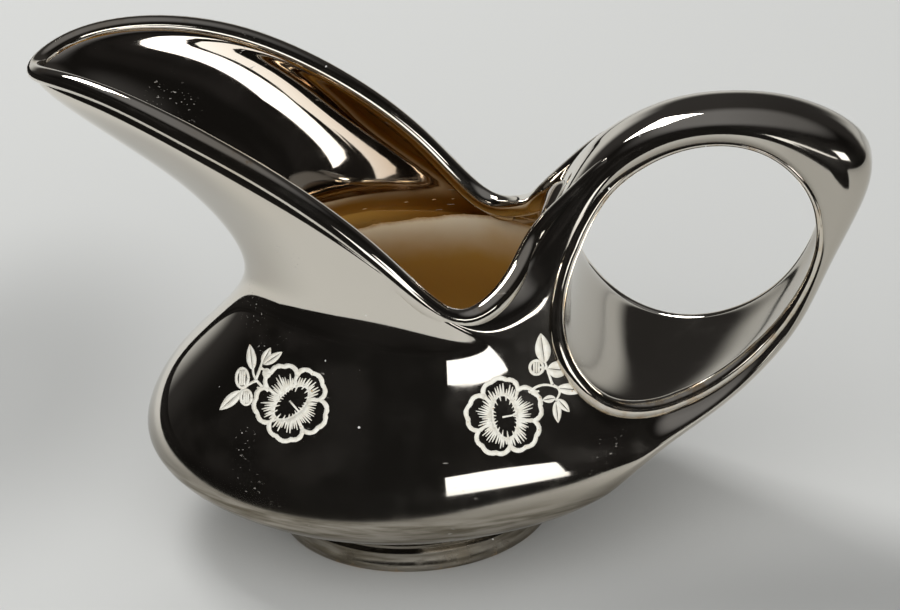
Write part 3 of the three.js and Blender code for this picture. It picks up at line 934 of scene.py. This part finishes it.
class CreamerSizes(bpy.types.PropertyGroup):
    """Sizes of the pot that may be changed"""

    wall: length("Wall", "Thickness of the cast wall", 3.2, 2, 5)
    bead: length("Rim roll", "Radius of the roll round the mouth", 2.3, 1.5, 3)
    lining: length("Lining", "Thickness of the cream glaze inside", 0.14, 0.05, 0.3)
    glaze_line: length("Lustre line", "Height inside at which the lustre ends", 52, 40, 54)
    waver: length("Waver", "How far the brushed lustre line wanders", 0.8, 0, 2)
    smoothness: IntProperty(
        name="Smoothness", description="Subdivision levels of the cast form", default=3, min=1, max=3)


class CreamerFinish(bpy.types.PropertyGroup):
    """Colours of the lustre, the glaze and the marks on them"""

    lustre: colour("Lustre", "Full metal lustre", 0.77, 0.725, 0.65)
    thin_lustre: colour("Thin lustre", "Lustre where the coat is thin", 0.6, 0.5, 0.36)
    worn_lustre: colour("Worn lustre", "Amber that shows where the lustre is rubbed", 0.52, 0.34, 0.16)
    # Painted reflection and shade: the brown, darker colour of the lustre inside the mouth
    inner_lustre: colour("Inner lustre", "Brown, thinner lustre inside the mouth", 0.34, 0.255, 0.175)
    # Partly painted shade: the darker colour of the underside, foot and the hole's scoop
    dull_lustre: colour("Dull lustre", "Thin lustre of underside, foot and grip", 0.155, 0.134, 0.1)
    dust: colour("Dust", "Specks and scratches in the lustre", 0.62, 0.61, 0.58)
    cream: colour("Cream", "Cream glaze inside", 0.84, 0.75, 0.58)
    # Painted sheen in part: the cream fades to this colour lower down in the bowl
    deep_cream: colour("Deep cream", "Cream glaze where it pooled", 0.62, 0.39, 0.1)
    iron_spot: colour("Iron spot", "Brown spots in the glaze", 0.16, 0.09, 0.04)
    resist: colour("Resist", "Bare glaze of the sprigs", 0.85, 0.83, 0.75)
    resist_shade: colour("Resist shade", "Bare glaze where lustre clouds it", 0.74, 0.7, 0.6)
    gloss: FloatProperty(
        name="Gloss", description="Roughness of clean lustre", default=0.035, min=0, max=0.3,
        subtype="FACTOR")


class CreamerStage(bpy.types.PropertyGroup):
    """Floor and light"""

    floor: colour("Floor", "Pale table", 0.61, 0.615, 0.6)
    room: colour("Room", "Dark room that the lustre mirrors", 0.008, 0.0075, 0.007)
    shapes: colour("Shapes", "Dim shapes in the room", 0.016, 0.015, 0.0145)
    rear: colour("Rear wall", "Dim wall behind the table", 0.036, 0.0345, 0.034)
    ceiling: colour("Ceiling", "Grey ceiling that the lustre mirrors", 0.17, 0.17, 0.175)
    fill: FloatProperty(
        name="Fill", description="Even light from all round", default=0.3, min=0, max=1)
    front: FloatProperty(
        name="Front fill", description="Soft light from the camera's side", default=1.75, min=0, max=3)


# Operators


class CREAMER_OT_cast_skin(bpy.types.Operator):
    """Bowl, beak and handle as one seamless slip-cast skin"""

    bl_idname = "creamer.cast_skin"
    bl_label = "Cast Bowl and Handle"

    # The dished underside inside the foot ring: share of its radius and rise
    DISH = ((0.84, 0), (0.78, 0.5), (0.4, 0.9))
    DISH_MIDDLE = 1
    # The lustre inside the mouth is painted brown and dark, a painted reflection of the cream glaze and
    # painted shade. It fades in between these columns, and the beak has this share of it
    BROWN_COLUMNS, BEAK_BROWN = (2, 4), 0.1
    # Wear along the hole's edges and how wide it is, and wear of the belly, partly painted shade, and
    # how high it reaches
    EDGE_WEAR, EDGE_SPREAD = 0.54, 2.4
    BELLY_WEAR, BELLY_WEAR_TOP = 0.36, 8
    # The belly's wear and painted shade is strongest where the wall leans down by this much, and ends
    # this far from it
    WORN_LEAN, LEAN_SPREAD, STEEP = -0.1, 0.6, 0.5
    # How dull and dark the lustre is made on the grip behind the hole's middle, in the hole's scoop and
    # on the underside, with the distances between which each fades in. In the scoop and on the
    # underside the darkening is partly painted shade.
    GRIP_DULL, GRIP_FADE = 0.4, (6, 20)
    SCOOP_DULL, SCOOP_FADE = 0.5, (2.2, 0.8)
    UNDER_FADE = (11, 4)

    def execute(self, context):
        sizes, finish = context.scene.creamer_sizes, context.scene.creamer_finish
        cage = HalfCage()
        outer = self.outside(cage, bowl_columns(1))
        wall = sizes.wall / MM
        inner = [cage.row(rows) for rows in inset_columns(bowl_columns(0), wall, wall)]
        cage.sheet(inner)
        # Each inner column's share of the painted brown reflection and shade
        for c, rows in enumerate(inner):
            share = max(self.BEAK_BROWN, fade(c, *self.BROWN_COLUMNS))
            cage.inside.update((i, share) for i in rows)
        cage.strip(at_row(outer, RIM_ROW), at_row(inner, RIM_ROW))
        self.bottom(cage, at_row(outer, FOOT_ROW))
        self.floor(cage, at_row(inner, FOOT_ROW))
        skin = cage.build("cast_skin", sizes.smoothness)
        close_and_face_out(skin)
        self.mark_wear(skin)
        material = lustre_material(
            "Skin lustre", finish, cloud_scale=22.0, thin_share=0.16, wear=0.75, scratches=0.6,
            speck_share=0.012, haze=0.05)
        finish_piece(skin, material, "lustre", "body", "handle")
        return {"FINISHED"}

    @staticmethod
    def outside(cage, columns):
        """The bowl's outer faces, with the strap between its two roots."""

        def hidden(column, row):
            return column > EDGE_COLUMN and (TUCK_ROW < row < SADDLE_ROW or ROOT_ROW < row < RIM_ROW)

        ids = [
            [None if hidden(c, r) else cage.add(p) for r, p in enumerate(rows)]
            for c, rows in enumerate(columns)
        ]
        for c in range(BACK_COLUMN):
            for r in range(RIM_ROW):
                if c >= EDGE_COLUMN and (TUCK_ROW <= r < SADDLE_ROW or r >= ROOT_ROW):
                    continue
                cage.faces.append((ids[c][r], ids[c + 1][r], ids[c + 1][r + 1], ids[c][r + 1]))
        back = ids[EDGE_COLUMN:]

        def root_ring(inner, outer):
            step = 1 if outer > inner else -1
            side = [ids[EDGE_COLUMN][r] for r in range(inner + step, outer, step)]
            return [*at_row(back[::-1], inner), *side, *at_row(back, outer)]

        rings = [
            root_ring(SADDLE_ROW, TUCK_ROW),
            *[cage.row(strap_section(*station)) for station in STRAP_STATIONS],
            root_ring(ROOT_ROW, RIM_ROW),
        ]
        cage.sheet(rings)
        return ids

    def bottom(self, cage, foot):
        cage.crease(foot)
        radius = FOOT_RADIUS - FOOT_STEP
        ring = foot
        for share, rise in self.DISH:
            points = [ring_point(c, radius * share, BOTTOM_Z + rise) for c in range(BACK_COLUMN + 1)]
            inner = cage.row(points)
            cage.strip(inner, ring)
            ring = inner
        cage.fan(ring, Vector((0, 0, BOTTOM_Z + self.DISH_MIDDLE)))

    @staticmethod
    def floor(cage, edge):
        """The flat floor inside the bowl."""
        z = BOTTOM_Z + FLOOR
        ring = cage.row([ring_point(c, FLOOR_RING, z) for c in range(BACK_COLUMN + 1)])
        cage.strip(edge, ring)
        cage.fan(ring[::-1], Vector((0, 0, z)))

    @staticmethod
    def hole_edges(steps=8):
        """Both edges of the hole as a lookup of points."""
        edges = [hole_point(angle, inside + EDGE_ROLL * 0.5) for angle, _, inside, _ in STRAP_STATIONS]
        edges += [hole_point(*edge) for edge in BOWL_EDGE]
        edges.sort(key=lambda p: math.atan2(p.z - HOLE_Z, p.x - HOLE_X))
        line = []
        for a, b in zip(edges, edges[1:] + edges[:1]):
            line += [a.lerp(b, i / steps) for i in range(steps)]
        line += [mirrored(p) for p in line]
        lookup = KDTree(len(line))
        for i, point in enumerate(line):
            lookup.insert(place(point), i)
        lookup.balance()
        return lookup

    def mark_wear(self, skin):
        """Wear on the hole's edges and the belly's widest line, and the dull underside, scoop and grip.
        The belly's wear and the darkening of the underside and scoop are partly painted shade.
        """
        lookup = self.hole_edges()

        def wear(vertex):
            _, _, gap = lookup.find(vertex.co)
            rubbed = self.EDGE_WEAR * math.exp(-(gap / (self.EDGE_SPREAD * MM)) ** 2)
            lean = vertex.normal.z
            # Partly painted shade: the lower belly is darkened along with its wear
            if vertex.co.z / MM - BELLY_Z < self.BELLY_WEAR_TOP and abs(lean) < self.STEEP:
                belly = self.BELLY_WEAR * (1 - abs(lean - self.WORN_LEAN) / self.LEAN_SPREAD)
                rubbed = max(rubbed, belly)
            return rubbed

        # Partly painted shade: darkens the underside and the hole's scoop, and the grip as well
        def dull(vertex):
            point = unplace(vertex.co)
            aside = Vector((point.x - HOLE_X, 0, point.z - HOLE_Z))
            edge = hole_point(math.degrees(math.atan2(aside.z, aside.x)), 0)
            depth = aside.length - math.hypot(edge.x - HOLE_X, edge.z - HOLE_Z)
            return max(
                self.GRIP_DULL * fade(aside.x, *self.GRIP_FADE),
                self.SCOOP_DULL * fade(depth, *self.SCOOP_FADE),
                fade(point.z - BELLY_Z, *self.UNDER_FADE),
            )

        mark(skin, "wear", wear)
        mark(skin, "dull", dull)


class CREAMER_OT_rim_roll(bpy.types.Operator):
    """The roll round the mouth, which sinks into the handle's root"""

    bl_idname = "creamer.rim_roll"
    bl_label = "Roll the Rim"

    LAST_COLUMN = 9
    # Past that column it runs out along the strap: angle, depth and spread in its section
    RUN_OUT = ((143, 0.62, 0.84), (124, 0.58, 0.78), (96, 0.42, 0.66))
    # Share of the radius at the strap's end and at the lip, and how long the beak's taper is
    END_SHARE = 0.5
    LIP_SHARE, LIP_LENGTH = 0.7, 38
    # Wear all over, and more on top
    WEAR, TOP_WEAR = 0.3, 0.16

    def execute(self, context):
        sizes, finish = context.scene.creamer_sizes, context.scene.creamer_finish
        wall = sizes.wall / MM
        rim = at_row(bowl_columns(1), RIM_ROW)
        inner = at_row(inset_columns(bowl_columns(0), wall, wall), RIM_ROW)
        near = [(a + b) / 2 for a, b in zip(rim, inner)][:self.LAST_COLUMN + 1]
        sections = {section[0]: section for section in STRAP_STATIONS}
        for angle, depth, spread in self.RUN_OUT:
            _, thickness, _, outside = sections[angle]
            near.append(hole_point(angle, outside * spread) + hole_normal(angle) * thickness * depth)
        whole = [mirrored(p) for p in near[:0:-1]] + near
        centres = smooth_line(whole, 3)
        root, end = RIM_GUIDE[EDGE_COLUMN][0], hole_point(self.RUN_OUT[-1][0], 0).x
        lip = RIM_GUIDE[0][0]
        radii = []
        for centre in centres:
            at_end = 1 - (1 - self.END_SHARE) * fade(centre.x, root, end)
            at_lip = self.LIP_SHARE + (1 - self.LIP_SHARE) * fade(centre.x, lip, lip + self.LIP_LENGTH)
            radii.append(sizes.bead * at_end * at_lip)
        roll = swept_tube("rim_roll", centres, radii, closed=False)
        mark(roll, "wear", lambda vertex: self.WEAR + self.TOP_WEAR * max(0, vertex.normal.z))
        material = lustre_material(
            "Rim lustre", finish, cloud_scale=40.0, thin_share=0.45, wear=0.7, scratches=0.4,
            speck_share=0.02, haze=0.1)
        finish_piece(roll, material, "lustre", "rim_bead")
        return {"FINISHED"}


class CREAMER_OT_hole_rolls(bpy.types.Operator):
    """The rolled edge round the handle's hole, on both sides"""

    bl_idname = "creamer.hole_rolls"
    bl_label = "Roll the Hole's Edges"

    # Radius of the roll: mean and swing, with the thickest part at the tail
    MEAN, SWING, THICK_AT = 1.25, 0.65, 240
    # How far its middle is sunk in the edge, in radii
    SUNK = 0.45
    # Each side: moved into the hole and moved off its face, in radii, and how much it is rubbed
    SIDES = {"near": (0.3, 0.3, 0.5), "far": (-0.5, 0.7, 0.4)}

    def execute(self, context):
        finish = context.scene.creamer_finish
        tree = skin_tree(context)
        edge = BOWL_EDGE[::-1]
        edge += [(angle % 360, inside) for angle, _, inside, _ in STRAP_STATIONS if angle < 0]
        edge += [(angle + 360, inside) for angle, _, inside, _ in STRAP_STATIONS if angle >= 0]
        line = smooth_line([hole_point(*point) for point in edge], 3, closed=True)
        material = lustre_material(
            "Roll lustre", finish, cloud_scale=60.0, thin_share=0.5, wear=0.8, scratches=0.4,
            speck_share=0.05, haze=0.08)
        for side, (inward, outward, rubbed) in self.SIDES.items():
            centres, radii = [], []
            for point in line:
                angle = math.atan2(point.z - HOLE_Z, point.x - HOLE_X)
                radius = self.MEAN + self.SWING * math.cos(angle - math.radians(self.THICK_AT))
                hit, normal, _, _ = tree.find_nearest(place(point))
                aside = Vector((math.cos(angle) * inward, outward, math.sin(angle) * inward))
                centre = hit - (aside + normal * self.SUNK) * radius * MM
                centres.append(unplace(centre))
                radii.append(radius * MM)
            centres = smooth_line(centres, 1, closed=True)[::2]
            if side == "far":
                centres = [mirrored(p) for p in centres]
            roll = swept_tube(f"hole_roll_{side}", centres, radii, closed=True)
            mark(roll, "wear", lambda _, share=rubbed: share)
            finish_piece(roll, material, "lustre")
        return {"FINISHED"}


class CREAMER_OT_foot_ring(bpy.types.Operator):
    """The turned foot: splayed band, groove and flat tread"""

    bl_idname = "creamer.foot_ring"
    bl_label = "Turn the Foot"

    # Section of the ring: distance out from the foot's radius, and height
    PROFILE = (
        (-4.6, 0.25), (-4.0, 0), (-0.9, 0), (-0.25, 0.2), (0, 0.8), (-0.28, 1.9), (-0.75, 3.1),
        (-0.8, 4.1), (-1.25, 4.45), (-1.6, 4.75), (-1.5, 5.45), (-3.6, 5.45), (-4.6, 4.6),
    )
    STEPS = 144
    # Width of the softened arrises, and the angle from which an edge is one
    ARRIS, ARRIS_ANGLE = 0.16, 25
    # Wear all over, and more near the tread
    WEAR, TREAD_WEAR, TREAD_HEIGHT = 0.3, 0.3, 1.4

    def execute(self, context):
        finish = context.scene.creamer_finish
        points = [place(Vector((FOOT_RADIUS + out, 0, z))) for out, z in self.PROFILE]
        count = len(points)
        outline = [(i, (i + 1) % count) for i in range(count)]
        ring = new_object("foot_ring_turned", points, edges=outline)
        axis = {"center": place(Vector((0, 0, 0))), "axis": (0, 0, 1)}
        edit_all(ring, (bpy.ops.mesh.spin, {"steps": self.STEPS, "angle": 2 * math.pi, **axis}))
        close_and_face_out(ring)
        apply_modifier(
            ring, "Softened arrises", "BEVEL", width=self.ARRIS * MM, segments=3, limit_method="ANGLE",
            angle_limit=math.radians(self.ARRIS_ANGLE))
        tread = self.TREAD_HEIGHT * MM
        mark(ring, "wear", lambda v: self.WEAR + self.TREAD_WEAR * max(0, 1 - v.co.z / tread))
        # The whole foot takes the darker dull lustre: partly thin lustre, partly painted shade under
        # the belly
        mark(ring, "dull", lambda _: 1)
        material = lustre_material(
            "Foot lustre", finish, cloud_scale=70.0, thin_share=0.85, wear=0.8, scratches=0.5,
            speck_share=0.05, haze=0.35)
        finish_piece(ring, material, "lustre", "foot_ring")
        return {"FINISHED"}


class CREAMER_OT_glaze_lining(bpy.types.Operator):
    """The cream glaze inside, up to the brushed edge of the lustre"""

    bl_idname = "creamer.glaze_lining"
    bl_label = "Line with Glaze"

    # The coat's cage stands this far off the wall, and is cut at this height
    STAND_OFF = 0.3
    TOP = 55.5
    # The coat's edge sinks this far into the wall, between these heights from the lustre's line
    SINK = 0.4
    RUN_OUT = (-1.8, 0.6)
    # Waves round the pot that the brushed line follows: count, height and turn
    WAVES = ((2, 0.5, 0.4), (5, 0.22, 1.9), (11, 0.12, 0.7), (23, 0.07, 2.6))

    def execute(self, context):
        sizes, finish = context.scene.creamer_sizes, context.scene.creamer_finish
        wall = sizes.wall / MM
        cage = HalfCage()
        columns = inset_columns(bowl_columns(0), wall + self.STAND_OFF, wall)
        ids = [cage.row(rows) for rows in columns]
        cage.sheet(ids)
        CREAMER_OT_cast_skin.floor(cage, at_row(ids, FOOT_ROW))
        for point in cage.points[-(BACK_COLUMN + 2):]:
            point.z += self.STAND_OFF
        lining = cage.build("glaze_lining_coat", sizes.smoothness)
        edit_all(
            lining,
            (bpy.ops.mesh.remove_doubles, {"threshold": WELD}),
            (bpy.ops.mesh.bisect, {
                "plane_co": (0, 0, self.TOP * MM), "plane_no": (0, 0, 1), "clear_outer": True}),
        )
        brushed = lining.data.attributes.new("brushed", "FLOAT", "POINT")
        for vertex in lining.data.vertices:
            turn = math.atan2(vertex.co.y, vertex.co.x - FOOT_X)
            wave = sum(height * math.sin(count * turn + start) for count, height, start in self.WAVES)
            above = (vertex.co.z - sizes.glaze_line - sizes.waver * wave) / MM
            vertex.co -= vertex.normal * self.SINK * fade(above, *self.RUN_OUT) * MM
            brushed.data[vertex.index].value = above
        apply_modifier(lining, "Coat", "SOLIDIFY", thickness=sizes.lining, offset=-1, use_rim=True)
        material = lining_material("Cream glaze", finish)
        finish_piece(lining, material, "cream_glaze", "glaze_lining")
        return {"FINISHED"}


class CREAMER_OT_sprigs(bpy.types.Operator):
    """Two resist sprigs on each side of the bowl"""

    bl_idname = "creamer.sprigs"
    bl_label = "Lay the Sprigs"

    SEED = 11

    def execute(self, context):
        finish = context.scene.creamer_finish
        tree = skin_tree(context)
        material = resist_material("Resist glaze", finish)
        rng = random.Random(self.SEED)
        for name, plan in (("front", FRONT_SPRIG), ("back", BACK_SPRIG)):
            points, faces = lay_on(tree, plan, draw_sprig(plan, rng))
            flipped = [tuple(reversed(face)) for face in faces]
            across = [mirrored(p) for p in points]
            for side, sprig, skinned in (("near", points, faces), ("far", across, flipped)):
                obj = new_object(f"sprig_{name}_{side}", sprig, skinned)
                finish_piece(obj, material, "cream_glaze")
        return {"FINISHED"}


class CREAMER_OT_stage(bpy.types.Operator):
    """Pale table, studio lamps, dark room and camera"""

    bl_idname = "creamer.stage"
    bl_label = "Set the Stage"

    FLOOR_SIZE = 8
    # How far the room card runs on, in millimetres
    CARD = 9000
    # The table's front edge, as a line on the floor in millimetres
    EDGE_FROM = Vector((-179, -17, 0))
    EDGE_TO = Vector((35, -212, 0))
    # Where the left edge, which starts at the front edge's end, runs to
    EDGE_BACK = Vector((-330, 500, 0))
    # Painted shadows on the table's colour, one from the left and one along the pot's shadow: middle,
    # reach and depth
    SHADES = (
        ((FOOT_X - 0.1, 0.045), (0.055, 0.1), 0.26),
        ((FOOT_X + 0.09, -0.047), (0.07, 0.047), 0.24),
    )
    SHADE_CORE = 0.2
    # The room card lies this far above the table
    CARD_LIFT = Vector((0, 0, 0.5))
    # A dark flag keeps the side lamp out of the belly: a point on it, and its corners across and up
    FLAG_AT = Vector((110, -88, 71))
    FLAG_CORNERS = ((-23, -28), (36, -28), (36, 23), (-23, 23))
    # Lamps: azimuth and elevation from the pot, distance, width, height and power
    LAMPS = {
        "key": (-136, 54, 1.2, 0.48, 0.48, 6.9),
        "window": (27, 10, 0.45, 0.24, 0.09, 0.11),
        "side": (50.5, 19, 1.1, 0.28, 0.22, 0.5),
    }
    LAMP_TARGET = Vector((FOOT_X, 0, 0.04))
    # The room by the Y of a direction: the table's far end, the rear wall and the front fill
    FAR_TABLE, REAR_WALL, FRONT_FILL = (0.55, 0.85), (0.15, 0.65), (-0.8, 0.0)
    # And by its Z: where the far table ends and where the ceiling starts
    TABLE_END, CEILING = (0.08, 0.3), (0.68, 0.92)

    def execute(self, context):
        stage = context.scene.creamer_stage
        self.floor(stage)
        self.dark_card(stage)
        for name, lamp in self.LAMPS.items():
            self.lamp(name, *lamp)
        self.world(context, stage)
        self.camera(context)
        context.scene.view_settings.view_transform = "Standard"
        return {"FINISHED"}

    def floor(self, stage):
        bpy.ops.object.select_all(action="DESELECT")
        bpy.ops.mesh.primitive_grid_add(x_subdivisions=4, y_subdivisions=4, size=self.FLOOR_SIZE)
        floor = bpy.context.view_layer.objects.active
        floor.name = "table"
        material, tree, shader, vector = new_material("Table paper")
        tooth = noise(tree, vector, 900.0, 3.0)
        pale = mix_colour(tree, 0.05, stage.floor, (0.55, 0.55, 0.55, 1))
        paper = mix_colour(tree, tooth, stage.floor, pale)
        # Each painted shadow darkens the table's colour towards black in a soft oval
        for middle, reach, depth in self.SHADES:
            aside = add(tree, "ShaderNodeMapping", {
                "Vector": vector, "Location": (-middle[0] / reach[0], -middle[1] / reach[1], 0),
                "Scale": (1 / reach[0], 1 / reach[1], 0),
            })
            gap = add(tree, "ShaderNodeVectorMath", {0: aside.outputs[0]}, operation="LENGTH")
            shade = ramp(tree, gap.outputs["Value"], self.SHADE_CORE, 1.0, depth, 0.0)
            paper = mix_colour(tree, shade, paper, (0, 0, 0, 1))
        feed(tree, shader, {"Base Color": paper, "Roughness": 0.75, "Specular IOR Level": 0.2})
        floor.data.materials.append(material)

    def dark_card(self, stage):
        """The room past the table's front and left edges, for the lustre's reflections alone."""
        a, b = self.EDGE_FROM, self.EDGE_TO
        along = (b - a).normalized()
        out = Vector((along.y, -along.x, 0))
        start, end = a - along * self.CARD, b + along * self.CARD
        corners = [start, end, end + out * self.CARD, start + out * self.CARD]
        corners += [a, a + (self.EDGE_BACK - a).normalized() * self.CARD]
        to_lamp = heading(*self.LAMPS["side"][:2])
        across = Vector((-to_lamp.y, to_lamp.x, 0)).normalized()
        up = to_lamp.cross(across)
        corners += [self.FLAG_AT + across * x + up * y for x, y in self.FLAG_CORNERS]
        raised = [place(p + self.CARD_LIFT) for p in corners]
        card = new_object("room_card", raised, [(0, 1, 2, 3), (4, 0, 5), (6, 7, 8, 9)])
        material, tree, shader, vector = new_material("Room")
        cloudy = ramp(tree, noise(tree, vector, 2.0), 0.4, 0.7)
        feed(tree, shader, {
            "Base Color": (0, 0, 0, 1),
            "Specular IOR Level": 0,
            "Emission Color": mix_colour(tree, cloudy, stage.room, stage.shapes),
            "Emission Strength": 1,
        })
        card.data.materials.append(material)
        for ray in ("camera", "diffuse", "shadow", "transmission"):
            setattr(card, f"visible_{ray}", False)

    def lamp(self, name, azimuth, elevation, distance, width, height, power):
        out = heading(azimuth, elevation)
        data = bpy.data.lights.new(name, "AREA")
        data.shape = "RECTANGLE"
        data.size, data.size_y, data.energy = width, height, power
        lamp = add_object(name, data)
        lamp.location = self.LAMP_TARGET + out * distance
        lamp.rotation_euler = out.to_track_quat("Z", "Y").to_euler()
        lamp.visible_camera = False

    def world(self, context, stage):
        """Pale to the camera, soft fill to rough surfaces, a dark room and a pale table to gloss."""
        world = bpy.data.worlds.new("Studio")
        context.scene.world = world
        world.use_nodes = True
        tree = world.node_tree
        tree.nodes.clear()
        path = add(tree, "ShaderNodeLightPath")
        towards = add(tree, "ShaderNodeTexCoord").outputs["Generated"]
        parts = add(tree, "ShaderNodeSeparateXYZ", {"Vector": towards})
        deep, high = parts.outputs["Y"], parts.outputs["Z"]
        behind = ramp(tree, deep, *self.FAR_TABLE)
        low = ramp(tree, high, *self.TABLE_END, 1.0, 0.0)
        paper = maths(tree, "MULTIPLY", behind, low)
        ceiling = ramp(tree, high, *self.CEILING)
        shapes = ramp(tree, noise(tree, towards, 2.2, 2.0), 0.45, 0.7)
        walls = mix_colour(tree, shapes, stage.room, stage.shapes)
        dim = mix_colour(tree, ramp(tree, deep, *self.REAR_WALL), walls, stage.rear)
        overhead = mix_colour(tree, ceiling, dim, stage.ceiling)
        mirror = mix_colour(tree, paper, overhead, stage.floor)
        front = ramp(tree, deep, *self.FRONT_FILL, stage.front, stage.fill)
        fill = add(tree, "ShaderNodeCombineColor", {0: front, 1: front, 2: front})
        lit = mix_colour(tree, path.outputs["Is Glossy Ray"], fill.outputs[0], mirror)
        shown = mix_colour(tree, path.outputs["Is Camera Ray"], lit, stage.floor)
        back = add(tree, "ShaderNodeBackground", {"Color": shown, "Strength": 1.0})
        add(tree, "ShaderNodeOutputWorld", {"Surface": back.outputs[0]})

    @staticmethod
    def camera(context):
        right, up, back = view_axes()
        data = bpy.data.cameras.new("camera")
        data.sensor_fit = "HORIZONTAL"
        data.sensor_width = SENSOR
        data.lens = VIEW_LENS
        data.clip_start, data.clip_end = 0.01, 50
        camera = add_object("camera", data)
        turn = Matrix((right, up, back)).transposed().to_4x4()
        camera.matrix_world = Matrix.Translation(place(VIEW_TARGET + back * VIEW_DISTANCE)) @ turn
        context.scene.camera = camera


class CREAMER_PT_panel(bpy.types.Panel):
    """The creamer's pieces and finishes"""

    bl_label = "Lustred Creamer"
    bl_idname = "CREAMER_PT_panel"
    bl_space_type = "VIEW_3D"
    bl_region_type = "UI"
    bl_category = "Creamer"

    def draw(self, context):
        scene = context.scene
        for settings in (scene.creamer_sizes, scene.creamer_finish, scene.creamer_stage):
            box = self.layout.box()
            for name in settings.__annotations__:
                box.prop(settings, name)
        for operator in OPERATORS:
            self.layout.operator(operator.bl_idname)


SETTINGS = {
    "creamer_sizes": CreamerSizes, "creamer_finish": CreamerFinish, "creamer_stage": CreamerStage,
}
OPERATORS = (
    CREAMER_OT_cast_skin, CREAMER_OT_rim_roll, CREAMER_OT_hole_rolls, CREAMER_OT_foot_ring,
    CREAMER_OT_glaze_lining, CREAMER_OT_sprigs, CREAMER_OT_stage,
)


def register():
    for cls in (*SETTINGS.values(), *OPERATORS, CREAMER_PT_panel):
        bpy.utils.register_class(cls)
    for name, cls in SETTINGS.items():
        setattr(bpy.types.Scene, name, PointerProperty(type=cls))


def unregister():
    for name in SETTINGS:
        delattr(bpy.types.Scene, name)
    for cls in (CREAMER_PT_panel, *OPERATORS[::-1], *SETTINGS.values()):
        bpy.utils.unregister_class(cls)


def main():
    register()
    bpy.ops.creamer.cast_skin()
    bpy.ops.creamer.rim_roll()
    bpy.ops.creamer.hole_rolls()
    bpy.ops.creamer.foot_ring()
    bpy.ops.creamer.glaze_lining()
    bpy.ops.creamer.sprigs()
    bpy.ops.creamer.stage()


if __name__ == "__main__":
    main()
